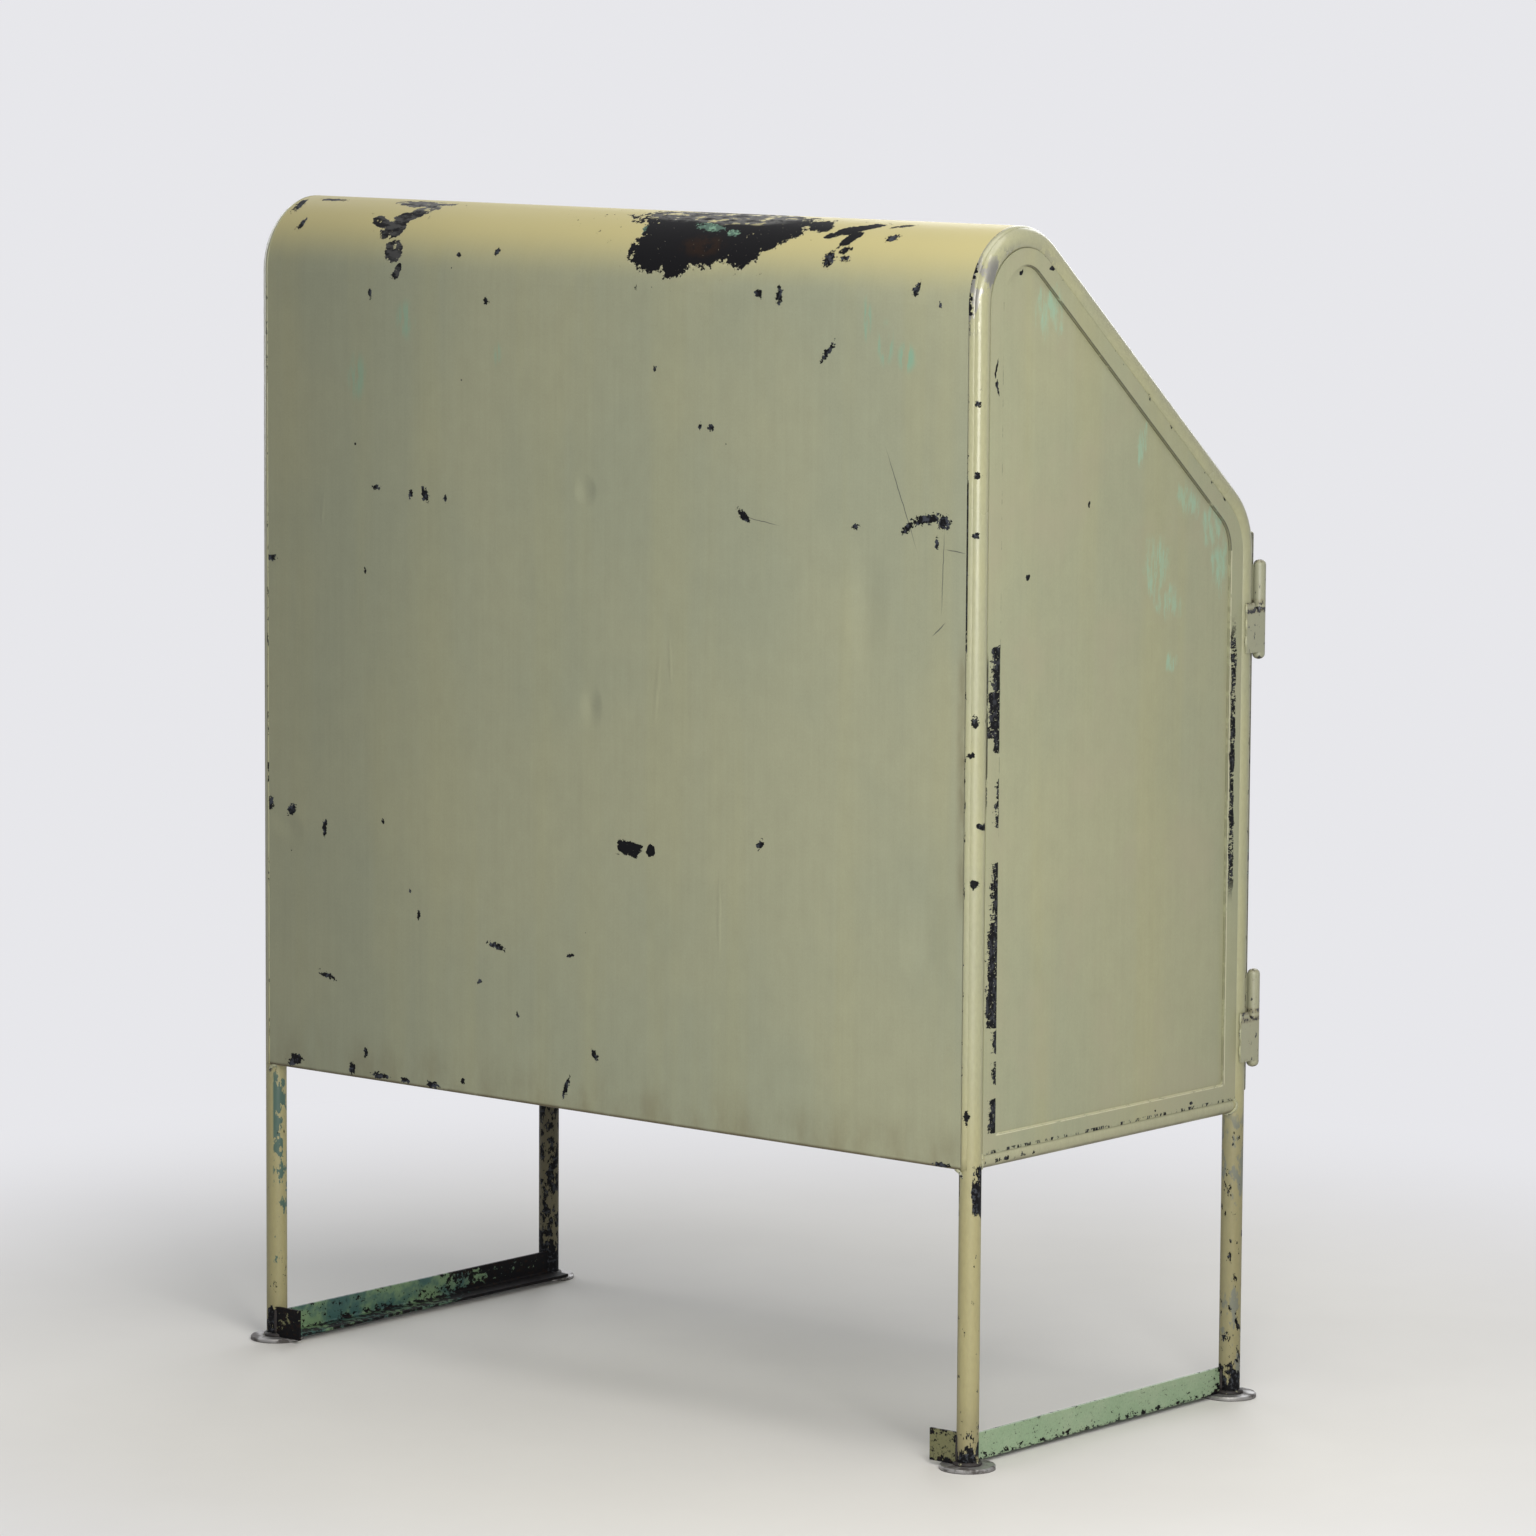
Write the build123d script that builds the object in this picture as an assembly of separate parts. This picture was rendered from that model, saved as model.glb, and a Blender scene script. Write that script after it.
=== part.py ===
from build123d import *
import math
import os

# Driving dimensions, in millimetres. +X is to the right seen from the doors, -Y is the doors' side, +Z is up.

# Tube frame
tube_d = 21.3             # outside diameter of the hoops
tube_wall = 1.5
leg_span_x = 900.0        # leg axis to leg axis, across
leg_span_y = 422.0        # leg axis to leg axis, front to back
rear_corner_z = 1229.0    # where the axes of the rear leg and the slope would cross
front_corner_z = 874.0    # where the axes of the slope and the front leg would cross
rear_bend_r = 61.0        # bend radii of the tube axis
front_bend_r = 70.0
rail_d = 17.2             # outside diameter of the rails under the cabinet
rail_z = 294.7            # axis height of the rails
foot_d = 54.0
foot_t = 4.0
foot_edge = 1.0

# Runners near the floor
runner_h = 26.0
runner_flange = 25.0
runner_t = 3.0
runner_root_r = 2.5
runner_in = 3.0           # outer face of a runner, in from the leg axes
stop_h = 31.0
stop_reach = 39.0         # from the leg axis
stop_t = 3.0
stop_back = 5.5           # front face of a stop, behind the leg axis

# Sheet metal of the cabinet
sheet_t = 1.2
wrap_edge_in = 1.0        # ends of the wrap sheet on the hoops, in from the leg axes
back_drop = 7.5           # lower edge of the back, below the rails' axis
back_flange = 11.0
lintel_flange = 20.0      # upright front end of the wrap sheet, behind the door tops
fold_r = 2.5              # outside radius of folds
side_out = 8.0            # outer face of the side panels' border, out from the tube axes
border_w = 20.0           # beside the legs
border_slope = 17.5       # under the slope
border_low = 17.0         # above the side rail
step_depth = 2.5
step_r = 6.0              # corners of the recessed field at the bottom
floor_lip = 15.0
seam_gap = 0.15           # left at welded seams and resting faces

# Inside
post_w = 40.0
post_web = 25.0
post_t = 3.0
post_lap = 12.0           # post behind the lintel
shelf_rise = 300.0        # top of the shelves above the floor
shelf_setback = 26.0      # front of the shelves behind the front leg axes
shelf_lip = 18.0
notch_gap = 1.5           # round the rear leg
bearer_leg = 20.0
bearer_t = 2.0

# Doors
door_mid_gap = 3.0
door_clear = 1.0          # between the wrap sheet's front end and the doors
door_depth = 9.0
door_t = 1.0
door_lip = 14.0
door_corner_r = 3.0
door_floor_gap = 1.0      # door above the rails' top
door_drop = 14.0          # door top below the crossing of slope and front leg
vent_count = 3
vent_length = 130.0
vent_width = 6.0
vent_pitch = 16.0
vent_inset = 48.0         # first vent from the door's upper or lower edge
stiffener_w = 44.0
stiffener_face = 20.0
buffer_d = 10.0
buffer_inset = 60.0       # buffers from the door's upper and lower edge

# Lift-off hinges
barrel_d = 12.5
dome_h = 5.0              # drawn-in end of a knuckle
dome_bands = 3
dome_sweep = 80.0         # degrees of the dome's arc
pin_d = 7.0
pin_fit = 0.08            # radial, in the door's knuckle
pin_seat = 0.02           # radial, in the frame's knuckle
pin_hold = 40.0           # pin inside the frame's knuckle
pin_entry = 40.0          # pin inside the door's knuckle
leaf_t = 2.2
leaf_h = 49.0             # each half of a hinge
leaf_grip = 6.0           # frame leaf past the leg axis
leaf_rise = 8.0           # frame leaf above the lower end of its knuckle
ear_h = 8.0               # raised rear corner of the frame leaf
ear_back = 2.0            # ear behind the knuckle
pin_ahead = 22.0          # pin axis in front of the leg axis
barrel_gap = 0.35         # between a knuckle and what swings past it
hinge_low = 25.0          # hinge from the door's lower edge
hinge_high = 27.0         # hinge from the door's upper edge

# Turn latches
latch_inset = 38.0        # latch axis from the door's free edge
latch_rise = 296.0        # latch axis above the door's lower edge
rose_d = 36.0
rose_t = 3.0
rose_edge = 1.2
rose_barrel_d = 16.0
latch_nut_flats = 22.0
latch_nut_t = 5.0
spindle_d = 8.0
spindle_fit = 0.08
spindle_square = 5.4
spindle_end = 3.0         # past the cam
collar_d = 18.0
collar_h = 7.0
knob_reach = 26.0         # from the door's face
knob_length = 52.0
knob_w = 12.0
knob_edge = 2.5
cam_t = 3.0
cam_w = 14.0
cam_reach = 30.0
cam_gap = 0.6             # behind the post's flange
square_gap = 0.1

# Places worked out from the sizes above
tube_r = tube_d / 2
rail_r = rail_d / 2
pin_r = pin_d / 2
barrel_r = barrel_d / 2
leg_x = leg_span_x / 2
wrap_in = tube_r + seam_gap
wrap_out = wrap_in + sheet_t
front_reach = max(foot_d / 2, wrap_out + door_clear + door_depth + knob_reach)
middle_shift = (front_reach - foot_d / 2) / 2
rear_y = leg_span_y / 2 + middle_shift
front_y = -leg_span_y / 2 + middle_shift
slope = math.atan2(rear_corner_z - front_corner_z, leg_span_y)
front_bend_z = front_corner_z - front_bend_r * math.tan((math.pi / 2 - slope) / 2)

wrap_half_x = leg_x - wrap_edge_in
fold_in_r = fold_r - sheet_t
back_low_z = rail_z - back_drop
lintel_low_z = front_bend_z - lintel_flange

side_in = side_out - sheet_t
side_edge = math.sqrt(tube_r**2 - side_in**2) + seam_gap
rail_edge = math.sqrt(max(rail_r**2 - side_in**2, 0)) + seam_gap
field_face_x = leg_x + side_in - step_depth

floor_top_z = rail_z + rail_r + seam_gap + sheet_t
floor_half_x = leg_x - rail_r - seam_gap
lip_front_y = front_y - wrap_out
post_front_y = front_y - wrap_in + seam_gap
post_rear_y = post_front_y + post_web
shelf_top_z = floor_top_z + shelf_rise

door_back_y = front_y - wrap_out - door_clear
door_front_y = door_back_y - door_depth
door_low_z = rail_z + rail_r + door_floor_gap
door_top_z = front_corner_z - door_drop
pin_x = leg_x + tube_r + seam_gap + leaf_t - barrel_r
pin_y = front_y - pin_ahead
door_outer_x = pin_x - barrel_r - barrel_gap
door_inner_x = door_mid_gap / 2
latch_x = door_inner_x + latch_inset
latch_z = door_low_z + latch_rise
cam_front_y = post_front_y + post_t + cam_gap


def span_box(x_low, x_high, y_low, y_high, z_low, z_high):
    size = (x_high - x_low, y_high - y_low, z_high - z_low)
    return Pos(x_low, y_low, z_low) * Box(*size, align=(Align.MIN, Align.MIN, Align.MIN))


def hoop_points(offset, slope_offset, rear_low, front_low):
    # Corners of the hoop's side outline, its legs and its slope moved out from the tube axis
    leg_change = offset * math.tan(slope)
    slope_change = slope_offset / math.cos(slope)
    return [
        (rear_y + offset, rear_low),
        (rear_y + offset, rear_corner_z + slope_change + leg_change),
        (front_y - offset, front_corner_z + slope_change - leg_change),
        (front_y - offset, front_low),
    ]


def hoop_panel(offset, slope_offset, low, corner_r, x_low, x_high):
    # Flat piece that fills the hoop outline down to low
    radii = [corner_r, rear_bend_r + offset, front_bend_r + offset, corner_r]
    outline = FilletPolyline(*hoop_points(offset, slope_offset, low, low), radius=radii, close=True)
    face = Plane.YZ * make_face(outline)
    return Pos(x_low, 0, 0) * extrude(face, x_high - x_low, dir=(1, 0, 0))


def leg_core(x, y, radius, height=front_corner_z):
    # Upright rod on a leg's axis, to cope what meets the leg
    return Pos(x, y, 0) * Cylinder(radius, height, align=(Align.CENTER, Align.CENTER, Align.MIN))


def folded(points, radius, thickness, plane, length):
    # Sheet bent along a line of points, square to the plane
    line = FilletPolyline(*points, radius=radius)
    return extrude(plane * trace(line, thickness), length)


def tube_hoop():
    path = Plane.YZ * FilletPolyline(*hoop_points(0, 0, foot_t, foot_t), radius=[rear_bend_r, front_bend_r])
    ring = Circle(tube_r) - Circle(tube_r - tube_wall)
    hoop = sweep(Pos(0, rear_y, foot_t) * ring, path=path)
    return Pos(-leg_x, 0, 0) * hoop


def rail_tube(start, end, legs):
    # Tube from axis to axis, coped round the legs
    direction = Vector(*end) - Vector(*start)
    ring = Circle(rail_r) - Circle(rail_r - tube_wall)
    rail = extrude(Plane(start, z_dir=direction) * ring, direction.length)
    for leg in legs:
        rail -= leg_core(*leg, tube_r + seam_gap)
    return rail


def side_rail():
    legs = [(-leg_x, rear_y), (-leg_x, front_y)]
    return rail_tube((-leg_x, front_y, rail_z), (-leg_x, rear_y, rail_z), legs)


def front_rail():
    # Coped round the side rails too, which it meets at the legs
    legs = [(-leg_x, front_y), (leg_x, front_y)]
    rail = rail_tube((-leg_x, front_y, rail_z), (leg_x, front_y, rail_z), legs)
    for x in (-leg_x, leg_x):
        rail -= Pos(x, front_y, rail_z) * Rot(90, 0, 0) * Cylinder(rail_r + seam_gap, 4 * tube_d)
    return rail


def foot_disc(y):
    disc = Cylinder(foot_d / 2, foot_t, align=(Align.CENTER, Align.CENTER, Align.MIN))
    disc = chamfer(disc.edges().group_by(Axis.Z)[-1], foot_edge)
    return Pos(-leg_x, y, 0) * disc


def base_runner():
    outer_x = -leg_x + runner_in
    profile = Rectangle(runner_flange, runner_h, align=(Align.MIN, Align.MIN))
    inside = Pos(runner_t, runner_t) * Rectangle(runner_flange, runner_h, align=(Align.MIN, Align.MIN))
    profile -= inside
    root = profile.vertices().sort_by_distance((runner_t, runner_t))[0]
    profile = fillet(root, runner_root_r)
    length = rear_y + stop_back - seam_gap - front_y
    plane = Plane((outer_x, front_y, foot_t + seam_gap), x_dir=(1, 0, 0), z_dir=(0, -1, 0))
    runner = extrude(plane * profile, -length)
    for y in (rear_y, front_y):
        runner -= leg_core(-leg_x, y, tube_r + seam_gap)
    return runner


def runner_stop():
    low = foot_t + seam_gap
    face_y = rear_y + stop_back
    stop = span_box(-leg_x, -leg_x + stop_reach, face_y, face_y + stop_t, low, low + stop_h)
    return stop - leg_core(-leg_x, rear_y, tube_r + seam_gap)


def wrap_sheet():
    # Back, top bend, slope and front bend in one sheet laid on the hoops, turned in under the back
    middle = wrap_out - sheet_t / 2
    low = back_low_z + sheet_t / 2
    points = [(rear_y + middle - back_flange, low)] + hoop_points(middle, middle, low, lintel_low_z)
    radii = [fold_r - sheet_t / 2, rear_bend_r + middle, front_bend_r + middle]
    plane = Plane((-wrap_half_x, 0, 0), x_dir=(0, 1, 0), z_dir=(1, 0, 0))
    sheet = folded(points, radii, sheet_t, plane, 2 * wrap_half_x)
    for x in (-leg_x, leg_x):
        sheet -= leg_core(x, rear_y, tube_r + seam_gap, back_low_z + fold_r)
    return sheet


def side_panel():
    # Pressed sheet: border near the tube's outer side, recessed field inside it
    low = rail_z + rail_edge
    outer_x = -leg_x - side_out
    inner_x = outer_x + step_depth + sheet_t
    edge = (-side_edge, -side_edge, low, 0)
    field = (-side_edge - border_w, -side_edge - border_slope, low + border_low, step_r)
    field_back = (field[0] + sheet_t, field[1] + sheet_t, field[2] - sheet_t, step_r + sheet_t)
    blank = hoop_panel(*edge, outer_x, inner_x)
    recess = hoop_panel(*field, outer_x, outer_x + step_depth)
    behind_border = hoop_panel(*edge, outer_x + sheet_t, inner_x)
    behind_border -= hoop_panel(*field_back, outer_x, inner_x)
    return blank - recess - behind_border


def floor_pan():
    # Floor on the rails: lip up at the front, flanges down at the sides and the rear
    floor_mid = floor_top_z - sheet_t / 2
    flange_low = back_low_z + sheet_t + seam_gap
    rear = rear_y + wrap_in - fold_in_r - seam_gap - sheet_t / 2
    front = lip_front_y + sheet_t / 2
    bend = fold_r - sheet_t / 2
    across = Plane((-floor_half_x, 0, 0), x_dir=(0, 1, 0), z_dir=(1, 0, 0))
    lengthwise = [(rear, flange_low), (rear, floor_mid), (front, floor_mid), (front, floor_top_z + floor_lip)]
    pan = folded(lengthwise, bend, sheet_t, across, 2 * floor_half_x)
    side = floor_half_x - sheet_t / 2
    crosswise = [(-side, flange_low), (-side, floor_mid), (side, floor_mid), (side, flange_low)]
    front_end = front_y + tube_r + seam_gap
    along = Plane((0, front_end, 0), x_dir=(1, 0, 0), z_dir=(0, -1, 0))
    pan += folded(crosswise, bend, sheet_t, along, front_end - (rear - fold_r))
    for x in (-leg_x, leg_x):
        for y in (rear_y, front_y):
            pan -= leg_core(x, y, tube_r + seam_gap)
    return pan


def center_post():
    flange = Rectangle(post_w, post_t, align=(Align.CENTER, Align.MIN))
    web = Rectangle(post_t, post_web, align=(Align.CENTER, Align.MIN))
    low = floor_top_z + fold_in_r + seam_gap
    high = lintel_low_z + post_lap
    return Pos(0, post_front_y, low) * extrude(flange + web, high - low)


def partition():
    edge = wrap_in - seam_gap
    sheet = hoop_panel(edge, edge, floor_top_z + seam_gap, 0, -sheet_t / 2, sheet_t / 2)
    post_top = lintel_low_z + post_lap + seam_gap
    return sheet - span_box(-post_w, post_w, lip_front_y, post_rear_y + seam_gap, 0, post_top)


def shelf():
    rear = rear_y + wrap_in - seam_gap - sheet_t / 2
    front = front_y + shelf_setback
    top = shelf_top_z - sheet_t / 2
    low = shelf_top_z - shelf_lip
    outer_x = -field_face_x + seam_gap
    inner_x = -sheet_t / 2 - seam_gap
    points = [(rear, low), (rear, top), (front, top), (front, low)]
    plane = Plane((outer_x, 0, 0), x_dir=(0, 1, 0), z_dir=(1, 0, 0))
    tray = folded(points, fold_r - sheet_t / 2, sheet_t, plane, inner_x - outer_x)
    return tray - leg_core(-leg_x, rear_y, tube_r + notch_gap)


def shelf_bearer(x, inward):
    # Angle along the depth, its upright leg against the wall at x
    front = front_y + shelf_setback + fold_r
    rear = rear_y - tube_r - notch_gap
    top = shelf_top_z - sheet_t - seam_gap
    upright = Rectangle(bearer_t, bearer_leg, align=(Align.MIN, Align.MAX))
    ledge = Rectangle(bearer_leg, bearer_t, align=(Align.MIN, Align.MAX))
    plane = Plane((x, front, top), x_dir=(inward, 0, 0), z_dir=(0, -inward, 0))
    return extrude(plane * (upright + ledge), -inward * (rear - front))


def door_panel():
    # Pan with folded edges and a return lip all round its open back
    width = door_outer_x - door_inner_x
    height = door_top_z - door_low_z
    pan = span_box(-door_outer_x, -door_inner_x, door_front_y, door_back_y, door_low_z, door_top_z)
    pan = fillet(pan.edges().filter_by(Axis.Y), door_corner_r)
    pan = fillet(pan.faces().sort_by(Axis.Y)[0].edges(), fold_r)
    middle = Pos(-(door_outer_x + door_inner_x) / 2, 0, (door_low_z + door_top_z) / 2)
    hollow = middle * span_box(
        door_t - width / 2,
        width / 2 - door_t,
        door_front_y + door_t,
        door_back_y - door_t,
        door_t - height / 2,
        height / 2 - door_t,
    )
    window = middle * span_box(
        door_lip - width / 2,
        width / 2 - door_lip,
        door_front_y + door_t,
        door_back_y,
        door_lip - height / 2,
        height / 2 - door_lip,
    )
    pan -= hollow
    pan -= window
    face = Plane((0, door_front_y, 0), x_dir=(1, 0, 0), z_dir=(0, -1, 0))
    slot = extrude(face * SlotOverall(vent_length, vent_width), -door_t)
    for row in range(vent_count):
        from_edge = vent_inset + row * vent_pitch
        for z in (door_low_z + from_edge, door_top_z - from_edge):
            pan -= Pos(-(door_outer_x + door_inner_x) / 2, 0, z) * slot
    hole = extrude(face * Circle(rose_barrel_d / 2 + seam_gap), -door_t)
    return pan - Pos(-latch_x, 0, latch_z) * hole


def door_stiffener():
    # Hat section on the back of the door's face, between the vents
    clear = vent_inset + vent_count * vent_pitch
    low = door_low_z + clear
    high = door_top_z - clear
    foot = door_front_y + door_t + seam_gap + sheet_t / 2
    crown = door_back_y - door_t - seam_gap - sheet_t / 2
    edge = stiffener_w / 2
    face = stiffener_face / 2
    points = [(-edge, foot), (-face, foot), (-face, crown), (face, crown), (face, foot), (edge, foot)]
    plane = Plane((-(door_outer_x + door_inner_x) / 2, 0, low))
    return folded(points, fold_r - sheet_t / 2, sheet_t, plane, high - low)


def hinge_knuckle(split_z, turn):
    # Barrel from the split of a hinge, its far end drawn in to a blunt dome, turned 180 degrees to point down
    angles = [math.radians(dome_sweep * band / dome_bands) for band in range(dome_bands + 1)]
    dome = [(barrel_r * math.cos(a), leaf_h - dome_h + dome_h * math.sin(a)) for a in angles]
    outline = Polyline((0, 0), (barrel_r, 0), *dome, (0, dome[-1][1]), close=True)
    barrel = revolve(Plane.XZ * make_face(outline), Axis.Z)
    return Pos(-pin_x, pin_y, split_z) * Rot(turn, 0, 0) * barrel


def pin_rod(low, height, radius):
    # Rod on the hinge axis, for the pin and for its bores
    return Pos(-pin_x, pin_y, low) * Cylinder(radius, height, align=(Align.CENTER, Align.CENTER, Align.MIN))


def frame_leaf(low):
    # Leaf welded to the outer side of the front leg, rolled into the lower knuckle, with a raised rear corner
    outer_x = -pin_x - barrel_r
    inner_x = outer_x + leaf_t
    split_z = low + leaf_h
    ear_y = pin_y + barrel_r + ear_back
    ear_top = split_z + ear_h
    leaf = span_box(outer_x, inner_x, pin_y, front_y + leaf_grip, low + leaf_rise, ear_top)
    leaf -= span_box(outer_x, inner_x, pin_y, ear_y, split_z, ear_top)
    leaf -= Pos(outer_x, ear_y, ear_top) * Rot(0, 90, 0) * Cylinder(ear_h, 4 * leaf_t)
    bore_depth = pin_hold + seam_gap
    return hinge_knuckle(split_z, 180) + leaf - pin_rod(split_z - bore_depth, bore_depth, pin_r + pin_seat)


def hinge_pin(low):
    foot_z = low + leaf_h - pin_hold
    pin = pin_rod(foot_z, pin_hold + barrel_gap + pin_entry, pin_r)
    return chamfer(pin.edges().group_by(Axis.Z)[-1], pin_r / 4)


def door_leaf(low):
    # Short leaf on the door's edge, rolled into the upper knuckle
    base = low + leaf_h + barrel_gap
    inner_x = -door_outer_x - seam_gap
    leaf = span_box(inner_x - leaf_t, inner_x, pin_y, door_back_y - fold_r, base, base + leaf_h - dome_h)
    return hinge_knuckle(base, 0) + leaf - pin_rod(base, pin_entry + barrel_gap, pin_r + pin_fit)


def latch_plane():
    # Local Z points out of the door's face along the latch axis, local Y is up
    return Plane((-latch_x, door_front_y, latch_z), x_dir=(1, 0, 0), z_dir=(0, -1, 0))


def latch_rose():
    plate = Cylinder(rose_d / 2, rose_t, align=(Align.CENTER, Align.CENTER, Align.MIN))
    plate = chamfer(plate.edges().group_by(Axis.Z)[-1], rose_edge)
    barrel = Cylinder(rose_barrel_d / 2, door_depth, align=(Align.CENTER, Align.CENTER, Align.MAX))
    bore = Cylinder(spindle_d / 2 + spindle_fit, 4 * door_depth)
    return latch_plane() * Pos(0, 0, seam_gap) * (plate + barrel - bore)


def latch_nut():
    bore = Circle(rose_barrel_d / 2 + seam_gap)
    nut = RegularPolygon(latch_nut_flats / 2, 6, major_radius=False) - bore
    return latch_plane() * Pos(0, 0, -door_t - seam_gap) * extrude(nut, -latch_nut_t)


def latch_knob():
    # Wing knob, collar and spindle in one piece, squared at its inner end for the cam
    collar_low = seam_gap + rose_t + barrel_gap
    cam_front = cam_front_y - door_front_y
    square_end = cam_front + cam_t + spindle_end
    shaft = Cylinder(spindle_d / 2, cam_front + collar_low, align=(Align.CENTER, Align.CENTER, Align.MAX))
    square = Rectangle(spindle_square, spindle_square)
    collar = Cylinder(collar_d / 2, collar_h, align=(Align.CENTER, Align.CENTER, Align.MIN))
    wing = extrude(Rot(0, 0, 90) * SlotOverall(knob_length, knob_w), knob_reach - collar_low - collar_h / 2)
    wing = chamfer(wing.edges().group_by(Axis.Z)[-1], knob_edge)
    knob = Pos(0, 0, collar_low) * (shaft + collar + Pos(0, 0, collar_h / 2) * wing)
    return latch_plane() * (knob + extrude(square, -square_end))


def latch_cam():
    # Flat arm on the squared end of the spindle, upright while unlocked
    width = cam_w / 2
    arm = Circle(width) + Rectangle(cam_w, cam_reach - width, align=(Align.CENTER, Align.MIN))
    arm += Pos(0, cam_reach - width) * Circle(width)
    arm -= Rectangle(spindle_square + 2 * square_gap, spindle_square + 2 * square_gap)
    return latch_plane() * Pos(0, 0, door_front_y - cam_front_y) * extrude(arm, -cam_t)


def door_buffers():
    # Rubber buttons on the post, two for each door
    height = post_front_y - door_back_y - 2 * seam_gap
    button = Plane((0, post_front_y - seam_gap, 0), z_dir=(0, -1, 0)) * extrude(Circle(buffer_d / 2), height)
    x = door_inner_x + door_lip / 2
    heights = (door_low_z + buffer_inset, door_top_z - buffer_inset)
    return [Pos(side * x, 0, z) * button for side in (-1, 1) for z in heights]


def keep(name, shape):
    export_step(shape, f"parts/{name}.step")


def keep_pair(name, left_shape):
    # The left piece, and its mirror image on the right
    keep(f"left_{name}", left_shape)
    keep(f"right_{name}", mirror(left_shape, about=Plane.YZ))


os.makedirs("parts", exist_ok=True)

keep_pair("tube_hoop", tube_hoop())
keep_pair("side_rail", side_rail())
keep("front_rail", front_rail())
for end, y in (("rear", rear_y), ("front", front_y)):
    keep_pair(f"{end}_foot", foot_disc(y))
keep_pair("base_runner", base_runner())
keep_pair("runner_stop", runner_stop())

keep("wrap_sheet", wrap_sheet())
keep_pair("side_panel", side_panel())
keep("floor_pan", floor_pan())
keep("center_post", center_post())
keep("partition", partition())
keep_pair("shelf", shelf())
keep_pair("outer_bearer", shelf_bearer(-field_face_x + seam_gap, 1))
keep_pair("inner_bearer", shelf_bearer(-sheet_t / 2 - seam_gap, -1))
keep("door_buffers", Compound(children=door_buffers()))

keep_pair("door_panel", door_panel())
keep_pair("door_stiffener", door_stiffener())
hinges = {"lower": door_low_z + hinge_low, "upper": door_top_z - hinge_high - 2 * leaf_h - barrel_gap}
for place, low in hinges.items():
    keep_pair(f"{place}_frame_leaf", frame_leaf(low))
    keep_pair(f"{place}_hinge_pin", hinge_pin(low))
    keep_pair(f"{place}_door_leaf", door_leaf(low))
keep_pair("latch_rose", latch_rose())
keep_pair("latch_nut", latch_nut())
keep_pair("latch_knob", latch_knob())
keep_pair("latch_cam", latch_cam())

print("leg axes x", leg_x, "rear y", rear_y, "front y", front_y, "slope", math.degrees(slope))
print("hinge pin", pin_x, pin_y, "latch", latch_x, latch_z, "door", door_front_y, door_back_y)
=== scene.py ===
import bpy
import bmesh
import math
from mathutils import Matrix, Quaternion, Vector, noise


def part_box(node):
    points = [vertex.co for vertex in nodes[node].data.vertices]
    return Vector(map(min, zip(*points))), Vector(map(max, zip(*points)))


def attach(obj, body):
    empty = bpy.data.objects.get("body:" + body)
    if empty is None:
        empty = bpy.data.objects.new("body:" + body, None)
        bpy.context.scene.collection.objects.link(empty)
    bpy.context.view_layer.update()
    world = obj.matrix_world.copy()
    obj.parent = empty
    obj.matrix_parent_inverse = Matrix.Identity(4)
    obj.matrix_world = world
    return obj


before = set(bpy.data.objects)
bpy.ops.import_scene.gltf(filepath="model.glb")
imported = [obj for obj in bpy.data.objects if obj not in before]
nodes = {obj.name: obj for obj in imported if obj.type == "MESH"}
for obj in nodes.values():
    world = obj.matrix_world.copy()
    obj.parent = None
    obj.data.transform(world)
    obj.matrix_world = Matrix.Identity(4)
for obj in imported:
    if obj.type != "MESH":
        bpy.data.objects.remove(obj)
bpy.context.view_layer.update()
print("frame loaded with", len(nodes), "nodes")


# a socket of a material, so that shader maths reads as Python
class Wire:
    def __init__(self, board, socket):
        self.board = board
        self.socket = socket

    def out(self, name):
        return Wire(self.board, self.socket.node.outputs[name])

    def maths(self, operation, first, second):
        return self.board.node("Math", {"operation": operation}, {0: first, 1: second})

    def __add__(self, other):
        return self.maths("ADD", self, other)

    def __radd__(self, other):
        return self.maths("ADD", other, self)

    def __sub__(self, other):
        return self.maths("SUBTRACT", self, other)

    def __rsub__(self, other):
        return self.maths("SUBTRACT", other, self)

    def __mul__(self, other):
        return self.maths("MULTIPLY", self, other)

    def __rmul__(self, other):
        return self.maths("MULTIPLY", other, self)

    def __abs__(self):
        return self.maths("ABSOLUTE", self, 0)

    def least(self, other):
        return self.maths("MINIMUM", self, other)

    def most(self, other):
        return self.maths("MAXIMUM", self, other)

    def rise(self, low, high):      # 0 below low, 1 above high
        settings = {"interpolation_type": "SMOOTHSTEP"}
        return self.board.node("MapRange", settings, {0: self, 1: low, 2: high, 3: 0.0, 4: 1.0})

    def fall(self, low, high):
        return 1 - self.rise(low, high)

    def band(self, middle, half, soft):     # 1 near middle, 0 further off
        return abs(self - middle).fall(half, half + soft)


plainRays = ("Is Camera Ray", "Is Glossy Ray", "Is Transmission Ray")       # these see the plain backdrop


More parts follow.
